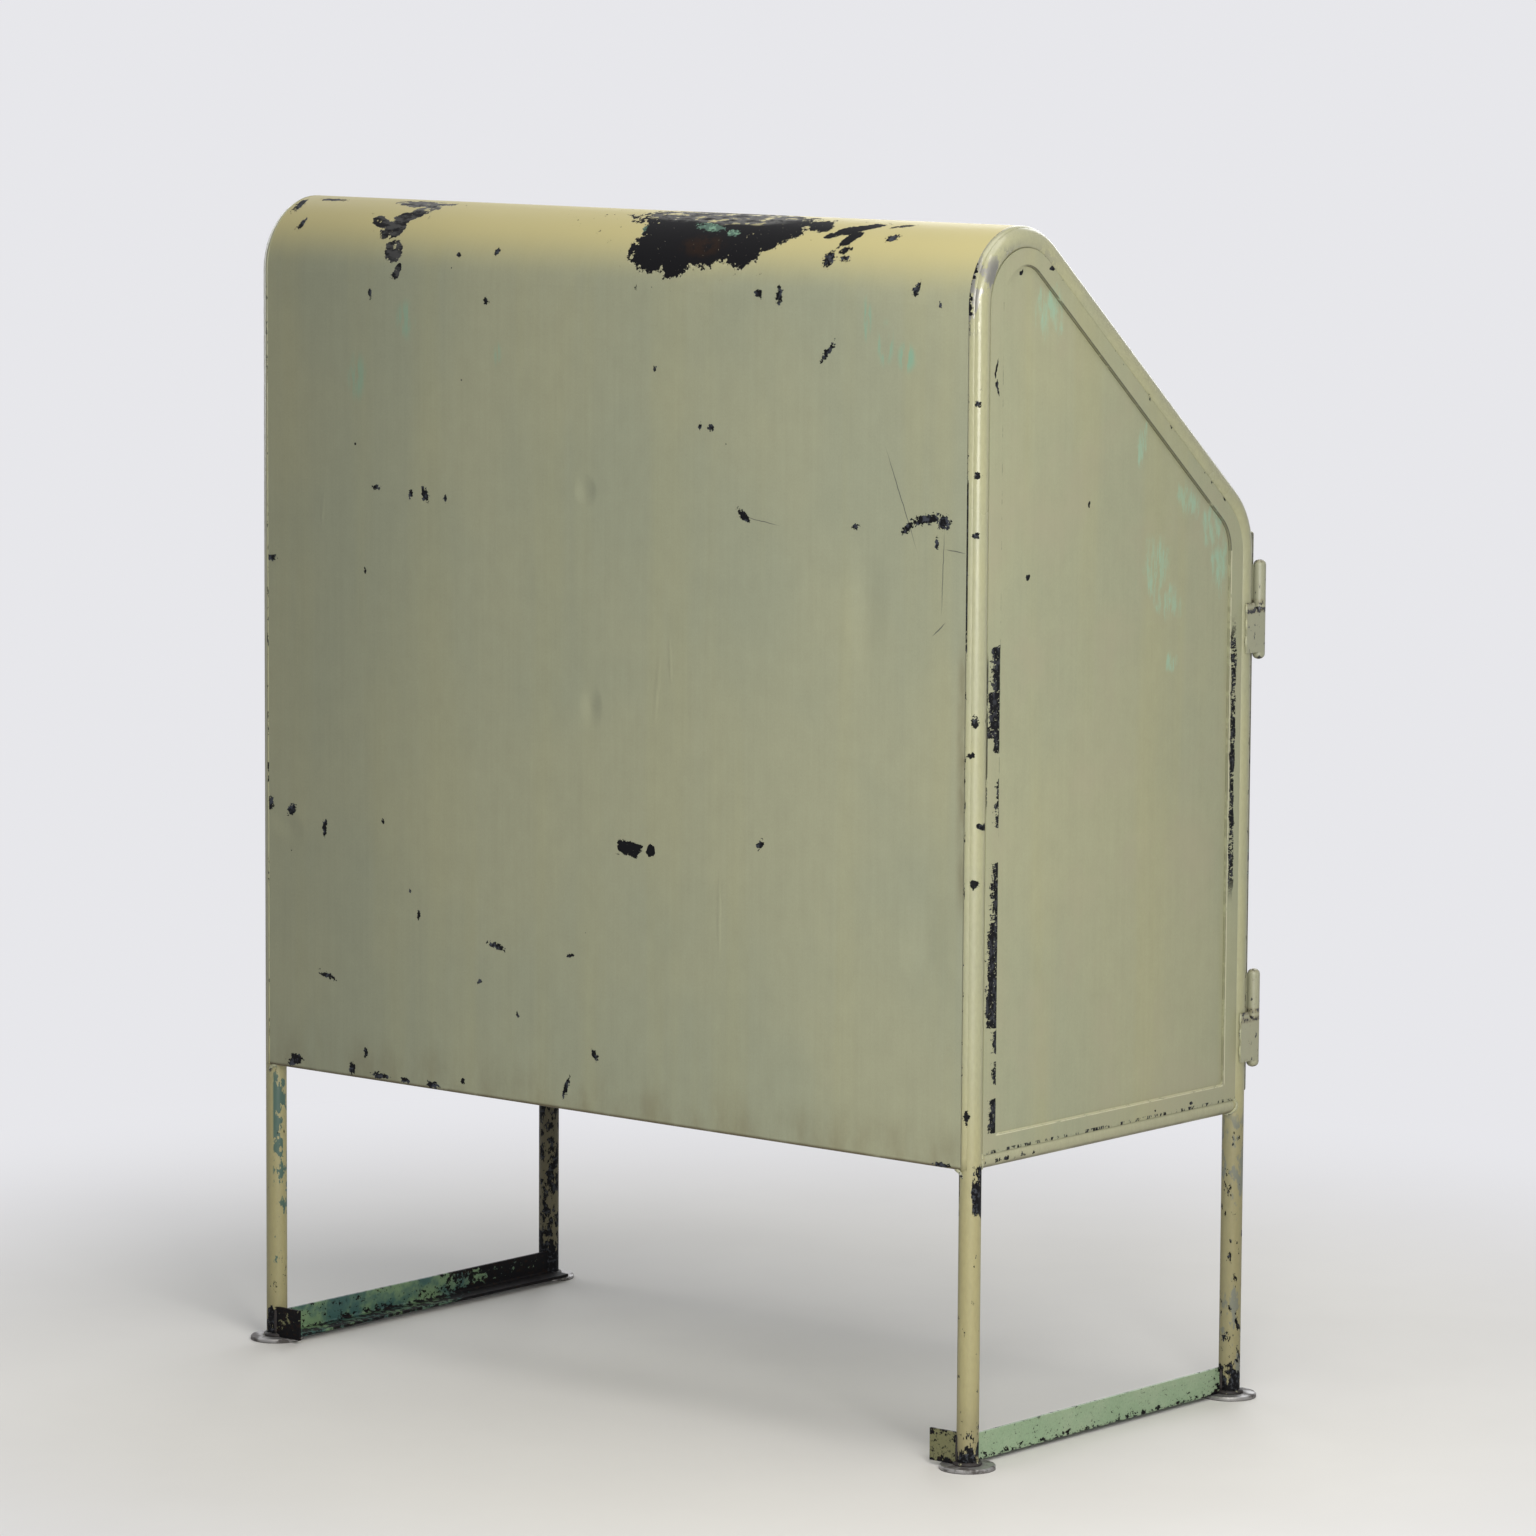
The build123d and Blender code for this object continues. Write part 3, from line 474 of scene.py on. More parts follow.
def sideFinish(name, handed):
    fin = Finish(name)
    look = sideLook
    place = fin.join(fin.y, fin.z, fin.x)
    flat = fin.join(fin.y, fin.z, 1.0)
    outer = (fin.normal[0] * handed).rise(-0.2, 0.2)
    colour, rough, height = brushedCoat(fin, place, look["warm"])
    blotch = fin.noise(place, 11, 4, 0.55, 5.0, (1, 0.8, 1))
    colour = fin.mix(blotch.rise(0.45, 0.7) * 0.5, colour, look["blotch"])
    colour = fin.mix(1.0, colour, look["tint"], "MULTIPLY")
    fine = fin.torn(flat, (110, 0.004), (420, 0.0012))
    streak = fin.noise(place, 120, 3, 0.6, 6.0, (1, 0.25, 1))
    brush = fin.noise(place, 260, 4, 0.65, 9.0, (1, 0.18, 1))
    mint = (fin.nearest(fine, sideMarks) + 2.4 * (streak - 0.5)).fall(0.5, 1.2) * brush.rise(0.36, 0.62)
    colour = fin.mix(mint * outer * 0.7, colour, tones["paleMint"])

    def past(wire):
        return wire.rise(-look["hair"], look["hair"])

    def corner(end):
        # the arc of the step at one end of the slope, and what lies past and above its centre
        across, up = fin.y - look[end + "Centre"][0], fin.z - look[end + "Centre"][1]
        arc = (fin.length(across, up) - look[end + "Round"]).band(0.0003, 0.0006, 0.0006)
        return arc, past(across * math.cos(hoop["slope"]) + up * math.sin(hoop["slope"])), past(up)

    # painted shade and dirt in the step round the field: along the slope, round its two corners and down
    # both sides
    gap = fin.noise(place, 90, 3, 0.6, 2.0)
    rearArc, rearPast, rearAbove = corner("rear")
    frontArc, frontPast, frontAbove = corner("front")
    under = (fin.y - hoop["rearY"]) * math.sin(hoop["slope"])       # below the slope's tube axis
    under = under - (fin.z - hoop["rearCorner"]) * math.cos(hoop["slope"])
    behind, ahead = fin.y - look["rear"], look["front"] - fin.y
    frontSide = (1 - frontAbove) * fin.z.rise(*look["lineZ"])
    rearSide = (1 - rearAbove) * fin.z.rise(*look["lineZ"])
    dark = (under - look["slopeStep"]).band(-0.0003, 0.0006, 0.0006) * frontPast * (1 - rearPast)
    dark = dark.most(frontArc * (1 - frontPast) * frontAbove)
    dark = dark.most(rearArc * rearPast * fin.y.fall(*look["rearArcY"]))
    dark = dark.most(ahead.band(0.0003, 0.0005, 0.0006) * frontSide * gap.rise(0.36, 0.56) * 0.6)
    dark = dark.most(behind.band(0.0003, 0.0004, 0.0006) * rearSide * gap.rise(0.50, 0.66) * 0.5)
    colour = fin.mix(dark * outer * gap.rise(0.24, 0.40) * 0.9, colour, look["dirt"])

    # painted highlight: cream where the step's lower and front edges catch the light
    stepHighlight = fin.z.band(look["low"], 0.0005, 0.0008) * gap.rise(0.33, 0.47) * fin.y.band(*look["lowLineY"])
    stepHighlight = stepHighlight.most(ahead.band(0.0014, 0.0004, 0.0006) * frontSide * gap.rise(0.25, 0.42))
    colour = fin.mix(stepHighlight * outer * 0.75, colour, tones["cream"])

    # paint rubbed off the rear strip, the front strip and the panel's outer edges
    chips = fin.noise(place, 150, 5, 0.7, 4.0, (1, 0.45, 1))
    ledge = fin.noise(place, 260, 4, 0.7, 2.0, (0.5, 1.4, 1))
    crumbs = fin.noise(place, 420, 3, 0.6, 7.0, (0.6, 1.2, 1))
    reach = 0.0 * fin.z
    for level, tall, wide in stripMarks.values():
        reach = reach.most(fin.z.band(level, tall, 0.003) * (look["stripSpread"] * wide))
    jag = (0.030 * (chips - 0.5) + 0.022 * (ledge - 0.5)) * reach.rise(0, 0.004)
    strip = (reach + jag - behind).rise(*look["stripEdge"]) * crumbs.fall(0.62, 0.66)
    strip = strip * behind.rise(*look["stripEdge"]) * reach.rise(0, 0.001)
    thin = fin.y.rise(*look["thinY"]) * fin.z.band(*look["thinZ"]) * chips.rise(0.40, 0.44)
    front = (ahead + 0.012 * (chips - 0.5)).band(*look["frontStrip"]) * fin.z.band(*look["frontZ"])
    front = front * (0.6 * ledge + 0.4 * gap).rise(0.435, 0.475)
    ridge = under.band(look["ridge"], 0.0012, 0.0008) * chips.rise(0.60, 0.63)
    groove = fin.z.band(look["groove"], 0.0016, 0.001) * chips.rise(0.52, 0.56)
    worn = strip.most(thin).most(front).most(ridge).most(groove) * outer
    worn = worn.most(fin.nearest(fine, sideSpots).fall(0.85, 1.0)).most(fin.specks(flat, 20, 0.03, 0.14))
    fleck = fin.noise(place, 170, 4, 0.65, 8.0, (1, 0.6, 1))
    scale = fin.mix(fleck.rise(0.5, 0.6), tones["black"], tones["wornGrey"])
    slack = fin.noise(place, 6, 2, 0.4, 9.0, (1, 0.6, 1))
    height = height + 0.9 * slack - 0.15 * worn
    return fin.surface(colour, rough - 0.03, height, gloss=0.4, bare=worn, scale=scale)


tubeSpots = {       # across, up, half width, half height
    "spotA": (-0.4565, 1.009, 0.0022, 0.0030), "spotB": (-0.4562, 0.942, 0.0026, 0.0034),
    "spotC": (-0.4558, 0.886, 0.0028, 0.0034), "spotD": (-0.4565, 0.712, 0.0026, 0.0060),
    "spotE": (-0.4540, 0.680, 0.0030, 0.0030), "spotF": (-0.4602, 0.613, 0.0020, 0.0034),
    "spotG": (-0.4565, 0.559, 0.0030, 0.0040), "low": (-0.4530, 0.338, 0.0024, 0.0060),
    "bendA": (-0.4450, 1.128, 0.0050, 0.0100), "bendB": (-0.4470, 1.098, 0.0040, 0.0120),
}
tubeLook = {
    "leftX": (-0.3, -0.2), "rightX": (0.2, 0.3), "rearY": (0.1, 0.15), "frontY": (-0.15, -0.10),
    "legZ": (0.27, 0.30), "bounceZ": (0.20, 0.42), "railZ": (0.31, 0.33), "railY": (0.198, 0.004),
    "footGrime": (0.015, 0.12), "farGrimeX": (0.4520, 0.4580), "farGrimeZ": (0.28, 0.30),
    "rustZ": (0.10, 0.24), "lowChips": (0.03, 0.14), "footChips": (0.006, 0.046),
    "innerX": (-0.4455, -0.4435), "outerX": (-0.4585, -0.4565), "cornerZ": (0.268, 0.020, 0.012),
    "doorY": (-0.2052, -0.2022), "doorZ": (0.62, 0.22, 0.05),
    "tealX": (0.441, 0.0035, 0.002), "tealY": (0.1, 0.2), "tealZ": (0.235, 0.03, 0.04),
    "blueZ": (0.255, 0.02, 0.03), "gutterX": (0.4490, 0.4500), "gutterY": (0.2308, 0.2314),
    "gutterZ": (0.30, 0.34), "gutterWorn": (0.86, 0.05, 0.05),
    "metalY": (0.10, 0.16), "metalZ": (1.112, 0.02, 0.025), "duller": (0.70, 1.00),
    "railRust": (0.070, 0.050, 0.022), "dirt": (0.085, 0.075, 0.045), "blueGrey": (0.120, 0.140, 0.135),
    "scale": (0.040, 0.044, 0.052),
}


def tubeFinish():
    fin = Finish("tubePaint")
    look = tubeLook
    place = fin.join(fin.x, fin.z, fin.y)
    clouds = fin.noise(place, 16, 4, 0.55, 3.0, (1, 0.5, 1))
    grain = fin.noise(place, 420, 3, 0.6, 1.0, (1, 0.35, 1))
    lumps = fin.noise(place, 160, 4, 0.6, 6.0, (1, 0.6, 1))
    leftHoop, rightHoop = fin.x.fall(*look["leftX"]), fin.x.rise(*look["rightX"])
    rearLeg, frontLeg = fin.y.rise(*look["rearY"]), fin.y.fall(*look["frontY"])
    low = fin.z.fall(*look["legZ"])
    rail = fin.y.band(hoop["midY"], *look["railY"]) * fin.z.fall(*look["railZ"])
    under = rail * fin.normal[2].fall(-0.85, -0.30) * clouds.rise(0.30, 0.62)
    colour = fin.mix(clouds.rise(0.38, 0.62), tones["tube"], tones["tubeGreen"])
    # painted light: a warm bounce from the floor on the lower legs
    colour = fin.mix(fin.z.fall(*look["bounceZ"]) * 0.9, colour, tones["legFloorBounce"])
    colour = fin.mix(rail * 0.6, colour, tones["coat"])
    colour = fin.mix(under * 0.75, colour, look["railRust"])
    colour = fin.shaded(colour, 0.84 + 0.24 * grain + 0.08 * lumps)

    # dirt on the legs, most on the front right one, where it is also painted shadow from the cabinet above
    grime = low * frontLeg * (0.30 * leftHoop).most(0.9 * rightHoop)
    grime = grime.most(fin.z.fall(*look["footGrime"]) * 0.5 * clouds.rise(0.3, 0.7))
    grime = grime.most(fin.x.rise(*look["farGrimeX"]) * fin.z.rise(*look["farGrimeZ"]) * 0.5)
    colour = fin.mix(grime, colour, look["dirt"])
    colour = fin.mix(low * frontLeg * rightHoop * fin.z.rise(*look["rustZ"]) * 0.6, colour, tones["rust"])

    # chips, more towards the feet, under the sheet's left corner and beside the doors
    chips = fin.noise(place, 135, 5, 0.70, 8.0, (1, 0.5, 1))
    edges = fin.x.rise(*look["innerX"]).most(fin.x.fall(*look["outerX"])) * rearLeg * leftHoop
    doorSide = frontLeg * fin.y.fall(*look["doorY"]) * fin.z.band(*look["doorZ"])
    lost = chips - 0.700 + 0.04 * low + 0.05 * low * frontLeg + 0.05 * fin.z.fall(*look["lowChips"])
    lost = lost + 0.22 * fin.z.fall(*look["footChips"]) + 0.25 * edges * fin.z.band(*look["cornerZ"])
    lost = lost + 0.06 * under + 0.12 * rightHoop * grime + 0.11 * doorSide

    # older coats that show on two of the legs
    patch = fin.noise(place, 60, 4, 0.65, 5.0, (1, 0.4, 1))
    teal = (patch + 0.09 * fin.z.band(*look["tealZ"]) + 0.5 * (lumps - 0.5)).rise(0.60, 0.63)
    teal = teal * fin.x.band(*look["tealX"]) * fin.y.rise(*look["tealY"])
    colour = fin.mix(teal * low * 0.9, colour, tones["teal"])
    blue = low * frontLeg * leftHoop * (patch + 0.12 * fin.z.band(*look["blueZ"])).rise(0.58, 0.63)
    colour = fin.mix(blue * 0.7, colour, look["blueGrey"])

    # wear where the sheet meets the tube, spots on the rear left leg and metal at its bend
    gutter = fin.y.rise(*look["gutterY"]) * abs(fin.x).fall(*look["gutterX"]) * fin.z.rise(*look["gutterZ"])
    gutter = gutter * (chips + 0.24 * fin.z.band(*look["gutterWorn"]) * leftHoop).rise(0.56, 0.59)
    fleck = fin.noise(place, 260, 3, 0.6, 2.0)
    ragged = fin.torn(fin.join(fin.x, fin.z, 1.0), (300, 0.0015))
    spots = (fin.nearest(ragged, tubeSpots) + 3.0 * (fleck - 0.5)).fall(0.9, 1.0) * rearLeg
    bare = lost.rise(0.0, 0.02).most(gutter).most(spots)
    metal = fin.y.rise(*look["metalY"]) * fin.z.band(*look["metalZ"]) * leftHoop * patch.rise(0.50, 0.54)
    colour = fin.mix(metal * 0.85, colour, tones["steel"])
    scale = fin.mix(fleck.rise(0.5, 0.62), tones["black"], look["scale"])
    rough = 0.17 + 0.12 * clouds + 0.25 * grime + 0.15 * metal + 0.20 * fin.z.fall(*look["duller"])
    height = 0.26 * lumps + 0.03 * grain - 0.15 * bare
    return fin.surface(colour, rough, height, 0.8 * metal, 0.45, bare, scale)


runnerLook = {
    "stopY": (0.2268, 0.2272), "lowZ": (0.004, 0.016), "topZ": (0.027, 0.031), "frontY": (-0.195, -0.165),
    "darkY": (-0.16, 0.03), "flangeZ": (0.0042, 0.0078), "rightX": (-0.1, 0.1),
    "mint": (0.235, 0.335, 0.205), "paleMint": (0.280, 0.365, 0.235), "green": (0.150, 0.245, 0.125),
    "olive": (0.135, 0.135, 0.058), "flange": (0.200, 0.200, 0.212),
}


def runnerFinish():
    fin = Finish("runnerPaint")
    look = runnerLook
    place = fin.join(fin.y, fin.z, fin.x)
    clouds = fin.noise(place, 20, 4, 0.6, 3.0)
    grain = fin.noise(place, 420, 3, 0.6, 1.0)
    mint = fin.mix(clouds.rise(0.35, 0.65), look["mint"], look["paleMint"])
    green = fin.mix(clouds.rise(0.44, 0.60), tones["teal"], look["green"])
    rightOne = fin.x.rise(*look["rightX"])
    stop = fin.y.rise(*look["stopY"])
    colour = fin.mix(stop, fin.mix(rightOne, mint, green), look["olive"])
    colour = fin.shaded(colour, 0.78 + 0.44 * grain)

    # chips along the edges and at the front, and most of the right one's front half
    chips = fin.noise(place, 150, 5, 0.72, 6.0, (0.8, 1, 1))
    level = 0.645 - 0.15 * fin.z.fall(*look["lowZ"]) - 0.06 * fin.z.rise(*look["topZ"])
    level = level - 0.16 * fin.y.fall(*look["frontY"]) - stop * (0.08 + 0.10 * rightOne)
    level = level - 0.05 * rightOne - 0.26 * rightOne * fin.y.fall(*look["darkY"])
    flecks = fin.noise(place, 330, 4, 0.7, 9.0, (0.8, 1, 1))
    fleck = fin.noise(place, 260, 3, 0.6, 2.0)
    bare = (chips - level).rise(0.0, 0.025).most(flecks.rise(0.635, 0.66))
    flange = fin.z.fall(*look["flangeZ"]) * fin.normal[2].rise(0.5, 0.9) * fleck.rise(0.35, 0.55)
    scale = fin.mix(fleck.rise(0.52, 0.66), tones["black"], tones["rust"])
    scale = fin.mix(flange, scale, look["flange"])
    return fin.surface(colour, 0.42, 0.06 * grain - 0.20 * bare, bare=bare, scale=scale)


footLook = {"legRing": (0.011, 0.019), "rimZ": (0.0004, 0.0016), "steel": (0.330, 0.325, 0.320),
            "dirt": (0.020, 0.018, 0.016)}


def footFinish():
    fin = Finish("footSteel")
    look = footLook
    clouds = fin.noise(fin.place, 60, 5, 0.6, 3.0)
    grain = fin.noise(fin.place, 700, 3, 0.6, 1.0)
    halfSpan = hoop["rearY"] - hoop["midY"]
    near = fin.length(abs(fin.x) - hoop["legX"], abs(fin.y - hoop["midY"]) - halfSpan)
    dirt = (near.fall(*look["legRing"]) * 0.9).most(clouds.rise(0.46, 0.62) * 0.85)
    dirt = dirt.most(fin.z.fall(*look["rimZ"]) * 0.7)
    colour = fin.mix(dirt, look["steel"], fin.mix(clouds.rise(0.4, 0.6), look["dirt"], tones["rust"]))
    rough = 0.38 + 0.30 * dirt + 0.1 * grain
    return fin.surface(colour, rough, 0.05 * grain + 0.12 * clouds, 0.85 - 0.75 * dirt)


hingeLook = {"tipY": (-0.2265, -0.2235), "endHalf": 0.0010, "endSoft": 0.0030, "warm": 0.3}


def hingeFinish():
    fin = Finish("hingePaint")
    look = hingeLook
    place = fin.join(fin.x, fin.z, fin.y)
    colour, rough, height = brushedCoat(fin, place, look["warm"])
    chips = fin.noise(place, 190, 5, 0.7, 3.0, (1, 0.6, 1))
    tip = fin.y.fall(*look["tipY"])
    ends = 0.0 * fin.z      # upper and lower ends of each leaf
    for level in ("lower", "upper"):
        for leaf in ("frame", "door"):
            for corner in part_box(f"left_{level}_{leaf}_leaf"):
                ends = ends.most(fin.z.band(corner[2], look["endHalf"], look["endSoft"]))
    bare = (chips + 0.05 * tip + 0.10 * ends).rise(0.615, 0.645)
    # stain over the hinges, heaviest at the leaves' ends, where it is also painted shade in the gaps between
    # the knuckles
    colour = fin.mix(0.18 + 0.55 * ends * chips.rise(0.35, 0.55), colour, tones["stain"])
    fleck = fin.noise(place, 300, 3, 0.6, 2.0)
    colour = fin.mix(bare, colour, fin.mix(fleck.rise(0.45, 0.6), tones["black"], tones["wornGrey"]))
    return fin.surface(colour, rough - 0.05, height - 0.12 * bare)


def insideFinish():
    fin = Finish("insidePaint")
    place = fin.join(fin.x, fin.y, fin.z)
    clouds = fin.noise(place, 9, 4, 0.6, 4.0)
    grain = fin.noise(place, 500, 3, 0.6, 1.0)
    colour = fin.mix(clouds.rise(0.35, 0.65), tones["coat"], tones["coatWarm"])
    top = fin.normal[2].rise(0.6, 0.9)
    rub = fin.noise(place, 140, 4, 0.65, 3.0, (0.06, 1, 1))
    scuff = top * rub.rise(0.60, 0.72)
    dust = top * clouds.rise(0.3, 0.7) * 0.5
    colour = fin.mix(dust, colour, tones["dust"])
    colour = fin.mix(scuff * 0.6, colour, tones["wornGrey"])
    chips = fin.noise(place, 120, 5, 0.7, 7.0)
    bare = chips.rise(0.70, 0.73)
    colour = fin.mix(bare, colour, tones["black"])
    return fin.surface(colour, 0.44 + 0.2 * dust, 0.05 * grain - 0.12 * bare)


doorLook = {
    "outerX": 0.45015, "freeX": 0.0015, "low": 0.3043, "high": 0.860, "rim": 0.006, "lowRim": 0.012,
    "latchX": 0.0395, "latchZ": 0.6003, "handled": (0.020, 0.085), "hemX": (0.0012, 0.0004),
    "lowGrime": 0.06, "hem": (0.060, 0.050, 0.028), "warm": 0.6,
}


def doorFinish():
    fin = Finish("doorPaint")
    look = doorLook
    side = abs(fin.x)
    place = fin.join(fin.x, fin.z, fin.y)
    colour, rough, height = brushedCoat(fin, place, look["warm"])
    fleck = fin.noise(place, 210, 4, 0.65, 8.0, (1, 0.6, 1))

    # hands wear the paint round the latch, knocks wear it along the edges
    handled = fin.length(side - look["latchX"], (fin.z - look["latchZ"]) * 0.7).fall(*look["handled"])
    chips = fin.noise(place, 115, 5, 0.68, 6.0, (1, 0.7, 1))
    edge = side.fall(look["freeX"], look["freeX"] + look["rim"])
    edge = edge.most(side.rise(look["outerX"] - look["rim"], look["outerX"]))
    edge = edge.most(fin.z.fall(look["low"], look["low"] + look["lowRim"]))
    edge = edge.most(fin.z.rise(look["high"] - look["rim"], look["high"]))
    hem = side.rise(*(look["outerX"] - k for k in look["hemX"]))
    lost = chips - 0.735 + 0.10 * edge + 0.10 * handled + 0.06 * hem
    grime = (handled * 0.35).most(fin.z.fall(look["low"], look["low"] + look["lowGrime"]) * 0.35)
    grime = grime * fin.noise(place, 30, 4, 0.6, 2.0, (1, 0.5, 1)).rise(0.3, 0.7)
    colour = fin.mix(grime, colour, tones["stain"])
    # painted shade: dark brown on each door's hinge-side edge, the edge that also loses more paint
    colour = fin.mix(hem * (0.50 + 0.9 * (fleck - 0.3)), colour, look["hem"])
    colour = fin.mix(lost.rise(-0.03, -0.01) * fleck.rise(0.5, 0.58) * 0.7, colour, tones["mint"])
    bare = lost.rise(0.0, 0.02)
    colour = fin.mix(bare, colour, fin.mix(fleck.rise(0.5, 0.62), tones["black"], tones["wornGrey"]))
    slack = fin.noise(place, 6, 2, 0.4, 1.0, (1, 0.6, 1))
    return fin.surface(colour, rough - 0.08 * handled, height + 0.9 * slack - 0.15 * bare)


latchLook = {"steel": (0.40, 0.385, 0.355), "tarnish": (0.13, 0.115, 0.095)}


def latchFinish():
    fin = Finish("latchSteel")
    place = fin.join(fin.x, fin.z, fin.y)
    clouds = fin.noise(place, 90, 4, 0.6, 3.0)
    rub = fin.noise(place, 900, 3, 0.6, 5.0, (1, 0.05, 1))
    tarnish = clouds.rise(0.48, 0.66)
    colour = fin.mix(tarnish, latchLook["steel"], latchLook["tarnish"])
    rough = 0.24 + 0.22 * tarnish + 0.14 * rub
    return fin.surface(colour, rough, 0.02 * rub + 0.03 * clouds, 1.0 - 0.25 * tarnish)


rubberLook = {"dark": (0.022, 0.021, 0.020), "worn": (0.060, 0.057, 0.052)}


def rubberFinish():
    fin = Finish("bufferRubber")
    clouds = fin.noise(fin.place, 240, 4, 0.6, 3.0)
    colour = fin.mix(clouds.rise(0.35, 0.7), rubberLook["dark"], rubberLook["worn"])
    return fin.surface(colour, 0.62 + 0.2 * clouds, 0.06 * clouds)


def weldFinish(name, bareness):
    fin = Finish(name)
    clouds = fin.noise(fin.place, 160, 4, 0.65, 3.0)
    grain = fin.noise(fin.place, 800, 3, 0.6, 1.0)
    coat = fin.mix(clouds.rise(0.4, 0.6), tones["tube"], tones["coat"])
    bare = clouds.rise(0.66 - bareness, 0.70 - bareness)
    scale = fin.mix(grain.rise(0.42, 0.6), tones["black"], tones["rust"])
    return fin.surface(fin.mix(bare, coat, scale), 0.30 + 0.35 * bare, 0.10 * grain + 0.10 * clouds)


kinds = {
    "wrap_sheet": "sheet", "left_side_panel": "left", "right_side_panel": "right", "tube_hoop": "tube",
    "rail": "tube", "base_runner": "runner", "runner_stop": "runner", "foot": "foot",
    "frame_leaf": "hinge", "door_leaf": "hinge", "hinge_pin": "latch", "latch": "latch",
    "door_panel": "door", "door_stiffener": "door", "door_buffers": "rubber",
}


def dress():
    look = {
        "sheet": sheetFinish(), "left": sideFinish("leftSidePaint", -1),
        "right": sideFinish("rightSidePaint", 1), "tube": tubeFinish(), "runner": runnerFinish(),
        "foot": footFinish(), "hinge": hingeFinish(), "inside": insideFinish(), "door": doorFinish(),
        "latch": latchFinish(), "rubber": rubberFinish(),
    }
    for name, thing in nodes.items():
        fits = [kind for ending, kind in kinds.items() if ending in name]
        thing.data.materials.clear()
        thing.data.materials.append(look[fits[0] if fits else "inside"])
    print("finishes on", len(nodes), "nodes")
    return look


def put(name, data):
    thing = bpy.data.objects.new(name, data)
    bpy.context.scene.collection.objects.link(thing)
    return thing


def skin(name, rings, closed, finish):
    # joins rings of points into one smooth closed skin that stays with the cabinet
    work = bmesh.new()
    for loop in rings:
        rows = [[work.verts.new(point) for point in ring] for ring in loop]
        pairs = list(zip(rows, rows[1:])) + ([(rows[-1], rows[0])] if closed else [])
        count = len(rows[0])
        for low, high in pairs:
            for k in range(count):
                work.faces.new((low[k], low[(k + 1) % count], high[(k + 1) % count], high[k]))
        if not closed:
            work.faces.new(list(reversed(rows[0])))
            work.faces.new(rows[-1])
    bmesh.ops.recalc_face_normals(work, faces=work.faces)
    for face in work.faces:
        face.smooth = True
    mesh = bpy.data.meshes.new(name)
    work.to_mesh(mesh)
    work.free()
    mesh.materials.append(finish)
    thing = put(name, mesh)
    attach(thing, "cabinet")


def hoopStations(low, end, step):
    # points on the hoop's axis with the direction out of the cabinet, from the back to the doors
    stations = []
    rearCentre = (hoop["rearY"] - hoop["rearBend"], hoop["rearBendZ"])
    frontCentre = (hoop["frontY"] + hoop["frontBend"], hoop["frontBendZ"])
    tilt = hoop["tilt"]

    def straight(start, stop, out):
        count = max(2, int((Vector(stop) - Vector(start)).length / step))
        for k in range(count):
            stations.append((Vector(start).lerp(Vector(stop), k / count), out))

    def bend(centre, radius, start, stop):
        count = max(6, int(radius * (stop - start) / (step * 0.4)))
        for k in range(count):
            angle = start + (stop - start) * k / count
            out = Vector((math.cos(angle), math.sin(angle)))
            stations.append((Vector(centre) + radius * out, out))

    out = Vector((math.cos(tilt), math.sin(tilt)))
    straight((hoop["rearY"], low), (hoop["rearY"], hoop["rearBendZ"]), Vector((1, 0)))
    bend(rearCentre, hoop["rearBend"], 0, tilt)
    slopeTop, slopeFoot = (Vector(centre) + hoop[bend] * out for centre, bend in (
        (rearCentre, "rearBend"), (frontCentre, "frontBend")))
    straight(slopeTop, slopeFoot, out)
    bend(frontCentre, hoop["frontBend"], tilt, math.pi)
    straight((hoop["frontY"], hoop["frontBendZ"]), (hoop["frontY"], end), Vector((-1, 0)))
    return stations


seam = {
    "low": 0.2875, "end": 0.8222, "step": 0.012, "unevenness": 0.00022, "wave": 60, "shown": range(1, 5),
    # outwards along x from the tube axis, and out from that axis
    "outline": [(-0.0024, 0.01203), (-0.0010, 0.01208), (0.0006, 0.01180), (0.0018, 0.01115),
                (0.0030, 0.01040), (0.0036, 0.00985), (0.0010, 0.01045), (-0.0016, 0.01090)],
}


def addSeams(finish):
    # filler that rounds the sheet's ends off onto the tubes
    for name, side in (("leftSeamFiller", -1), ("rightSeamFiller", 1)):
        rings = []
        for middle, out in hoopStations(seam["low"], seam["end"], seam["step"]):
            ring = []
            for k, (across, reach) in enumerate(seam["outline"]):
                point = Vector((side * (hoop["legX"] + across), *(middle + out * reach)))
                swell = noise.noise(point * seam["wave"]) * seam["unevenness"] if k in seam["shown"] else 0
                ring.append(point + Vector((0, *(out * swell))))
            rings.append(ring)
        skin(name, [rings], False, finish)
    print("seam filler along both hoops")


bead = {"sides": 8, "step": 0.0012, "ripple": 0.0030, "depth": 0.10, "lumps": 0.28, "wave": 230,
        "steep": 0.9, "endSize": 0.35, "endGrowth": 0.25}


